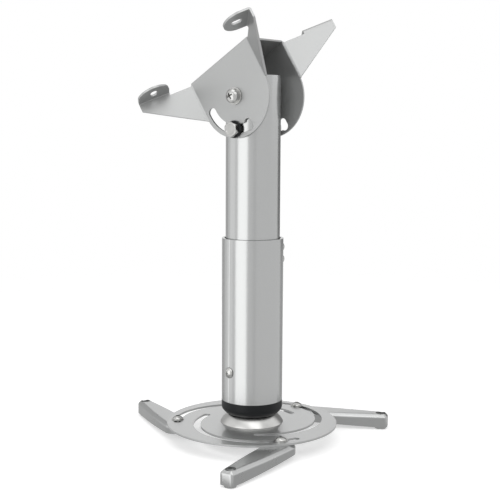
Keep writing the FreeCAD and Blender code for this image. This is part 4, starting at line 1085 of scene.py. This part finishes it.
pan = turned([(PAN_RADIUS, 0), *dome_profile(PAN_RADIUS, PAN_HEIGHT, PAN_RIM)], 96, solid=True)
carve(pan, *(turn(blade, PAN_SPIN) for blade in cross_cutter(*PAN_CROSS, PAN_HEIGHT)))
soften(pan, 0.16, 2, 30)
add_shank(pan, PIVOT_SHANK, PIVOT_END - PAN_SEAT, PIVOT_THREAD)
across_cheeks(pan, PAN_SEAT, PIVOT_HEIGHT)
dress(pan, "pivot_screw", zinc, "mast", "bright_fastener", "pivot_bolt")
spring = turned(
    [(WASHER_BORE, 0), (LOCK_RADIUS, 0), (LOCK_RADIUS, LOCK_DEPTH), (WASHER_BORE, LOCK_DEPTH)], 96
)
split = bar(6, SPLIT_WIDTH, 6, 6, 0, LOCK_DEPTH / 2, (math.radians(SPLIT_SLANT), 0, 0))
carve(spring, turn(split, SPLIT_PLACE))
soften(spring, 0.12, 2, 30)
across_cheeks(spring, PAN_SEAT + LOCK_DEPTH, PIVOT_HEIGHT)
dress(spring, "split_washer", zinc, "mast", "bright_fastener", "pivot_lock_washer")
for name, low in (("pivot_flat_front", PAN_SEAT + LOCK_DEPTH), ("pivot_flat_back", CHEEK_FACE)):
    ring_piece = across_cheeks(
        flat_ring(WASHER_BORE, FLAT_RADIUS, FLAT_DEPTH), low + FLAT_DEPTH, PIVOT_HEIGHT
    )
    dress(ring_piece, name, zinc, "mast", "bright_fastener", "pivot_washers")
nut_piece = across_cheeks(
    turn(nut(M8_NUT_WIDTH, M8_NUT_HEIGHT, PIVOT_SHANK + THREAD_GAP), M8_NUT_SPIN),
    CHEEK_FACE + FLAT_DEPTH + M8_NUT_HEIGHT, PIVOT_HEIGHT,
)
dress(nut_piece, "pivot_back_nut", zinc, "mast", "bright_fastener", "pivot_nut")

# Tilt clamp. A hexagon bolt through the arc slots and the tube clamps the bracket at its tilt between two
# black plastic washers. Its nut is at the back.
HEX_WIDTH, HEX_HEIGHT, HEX_SEAT, HEX_SPIN = 13.0, 5.3, -31.2, 8
HEX_END, HEX_THREAD, BLACK_DEPTH = 40.2, 18, 2.2
CROWN = ((12.0, -1.0), (12.0, HEX_HEIGHT - 3.4), (5.38, HEX_HEIGHT + 0.5))
DISH, DISH_DEPTH = ((4.3, 0.0), (4.9, 1.2)), 0.35
CLAMP_HEIGHT = PIVOT_HEIGHT - CLAMP_DROP

head = six_sided(HEX_WIDTH, HEX_HEIGHT, HEX_HEIGHT / 2, HEX_SPIN)
crown = turned(CROWN, 96, solid=True)
modify(head, "BOOLEAN", operation="INTERSECT", solver="EXACT", object=crown)
bpy.data.objects.remove(crown)
carve(head, move(turned(DISH, 64, solid=True), 0, 0, HEX_HEIGHT - DISH_DEPTH))
soften(head, 0.14, 2, 20)
add_shank(head, PIVOT_SHANK, HEX_END - HEX_SEAT, HEX_THREAD)
across_cheeks(head, HEX_SEAT, CLAMP_HEIGHT)
dress(head, "clamp_hex_bolt", zinc, "mast", "bright_fastener", "tilt_bolt")
for name, low in (("black_washer_front", HEX_SEAT), ("black_washer_back", CHEEK_FACE)):
    ring_piece = across_cheeks(
        flat_ring(WASHER_BORE, FLAT_RADIUS, BLACK_DEPTH), low + BLACK_DEPTH, CLAMP_HEIGHT
    )
    dress(ring_piece, name, black_plastic, "mast", "black_plastic", "tilt_washers")
nut_piece = across_cheeks(
    nut(M8_NUT_WIDTH, M8_NUT_HEIGHT, PIVOT_SHANK + THREAD_GAP),
    CHEEK_FACE + BLACK_DEPTH + M8_NUT_HEIGHT, CLAMP_HEIGHT,
)
dress(nut_piece, "clamp_back_nut", zinc, "mast", "bright_fastener", "tilt_nut")
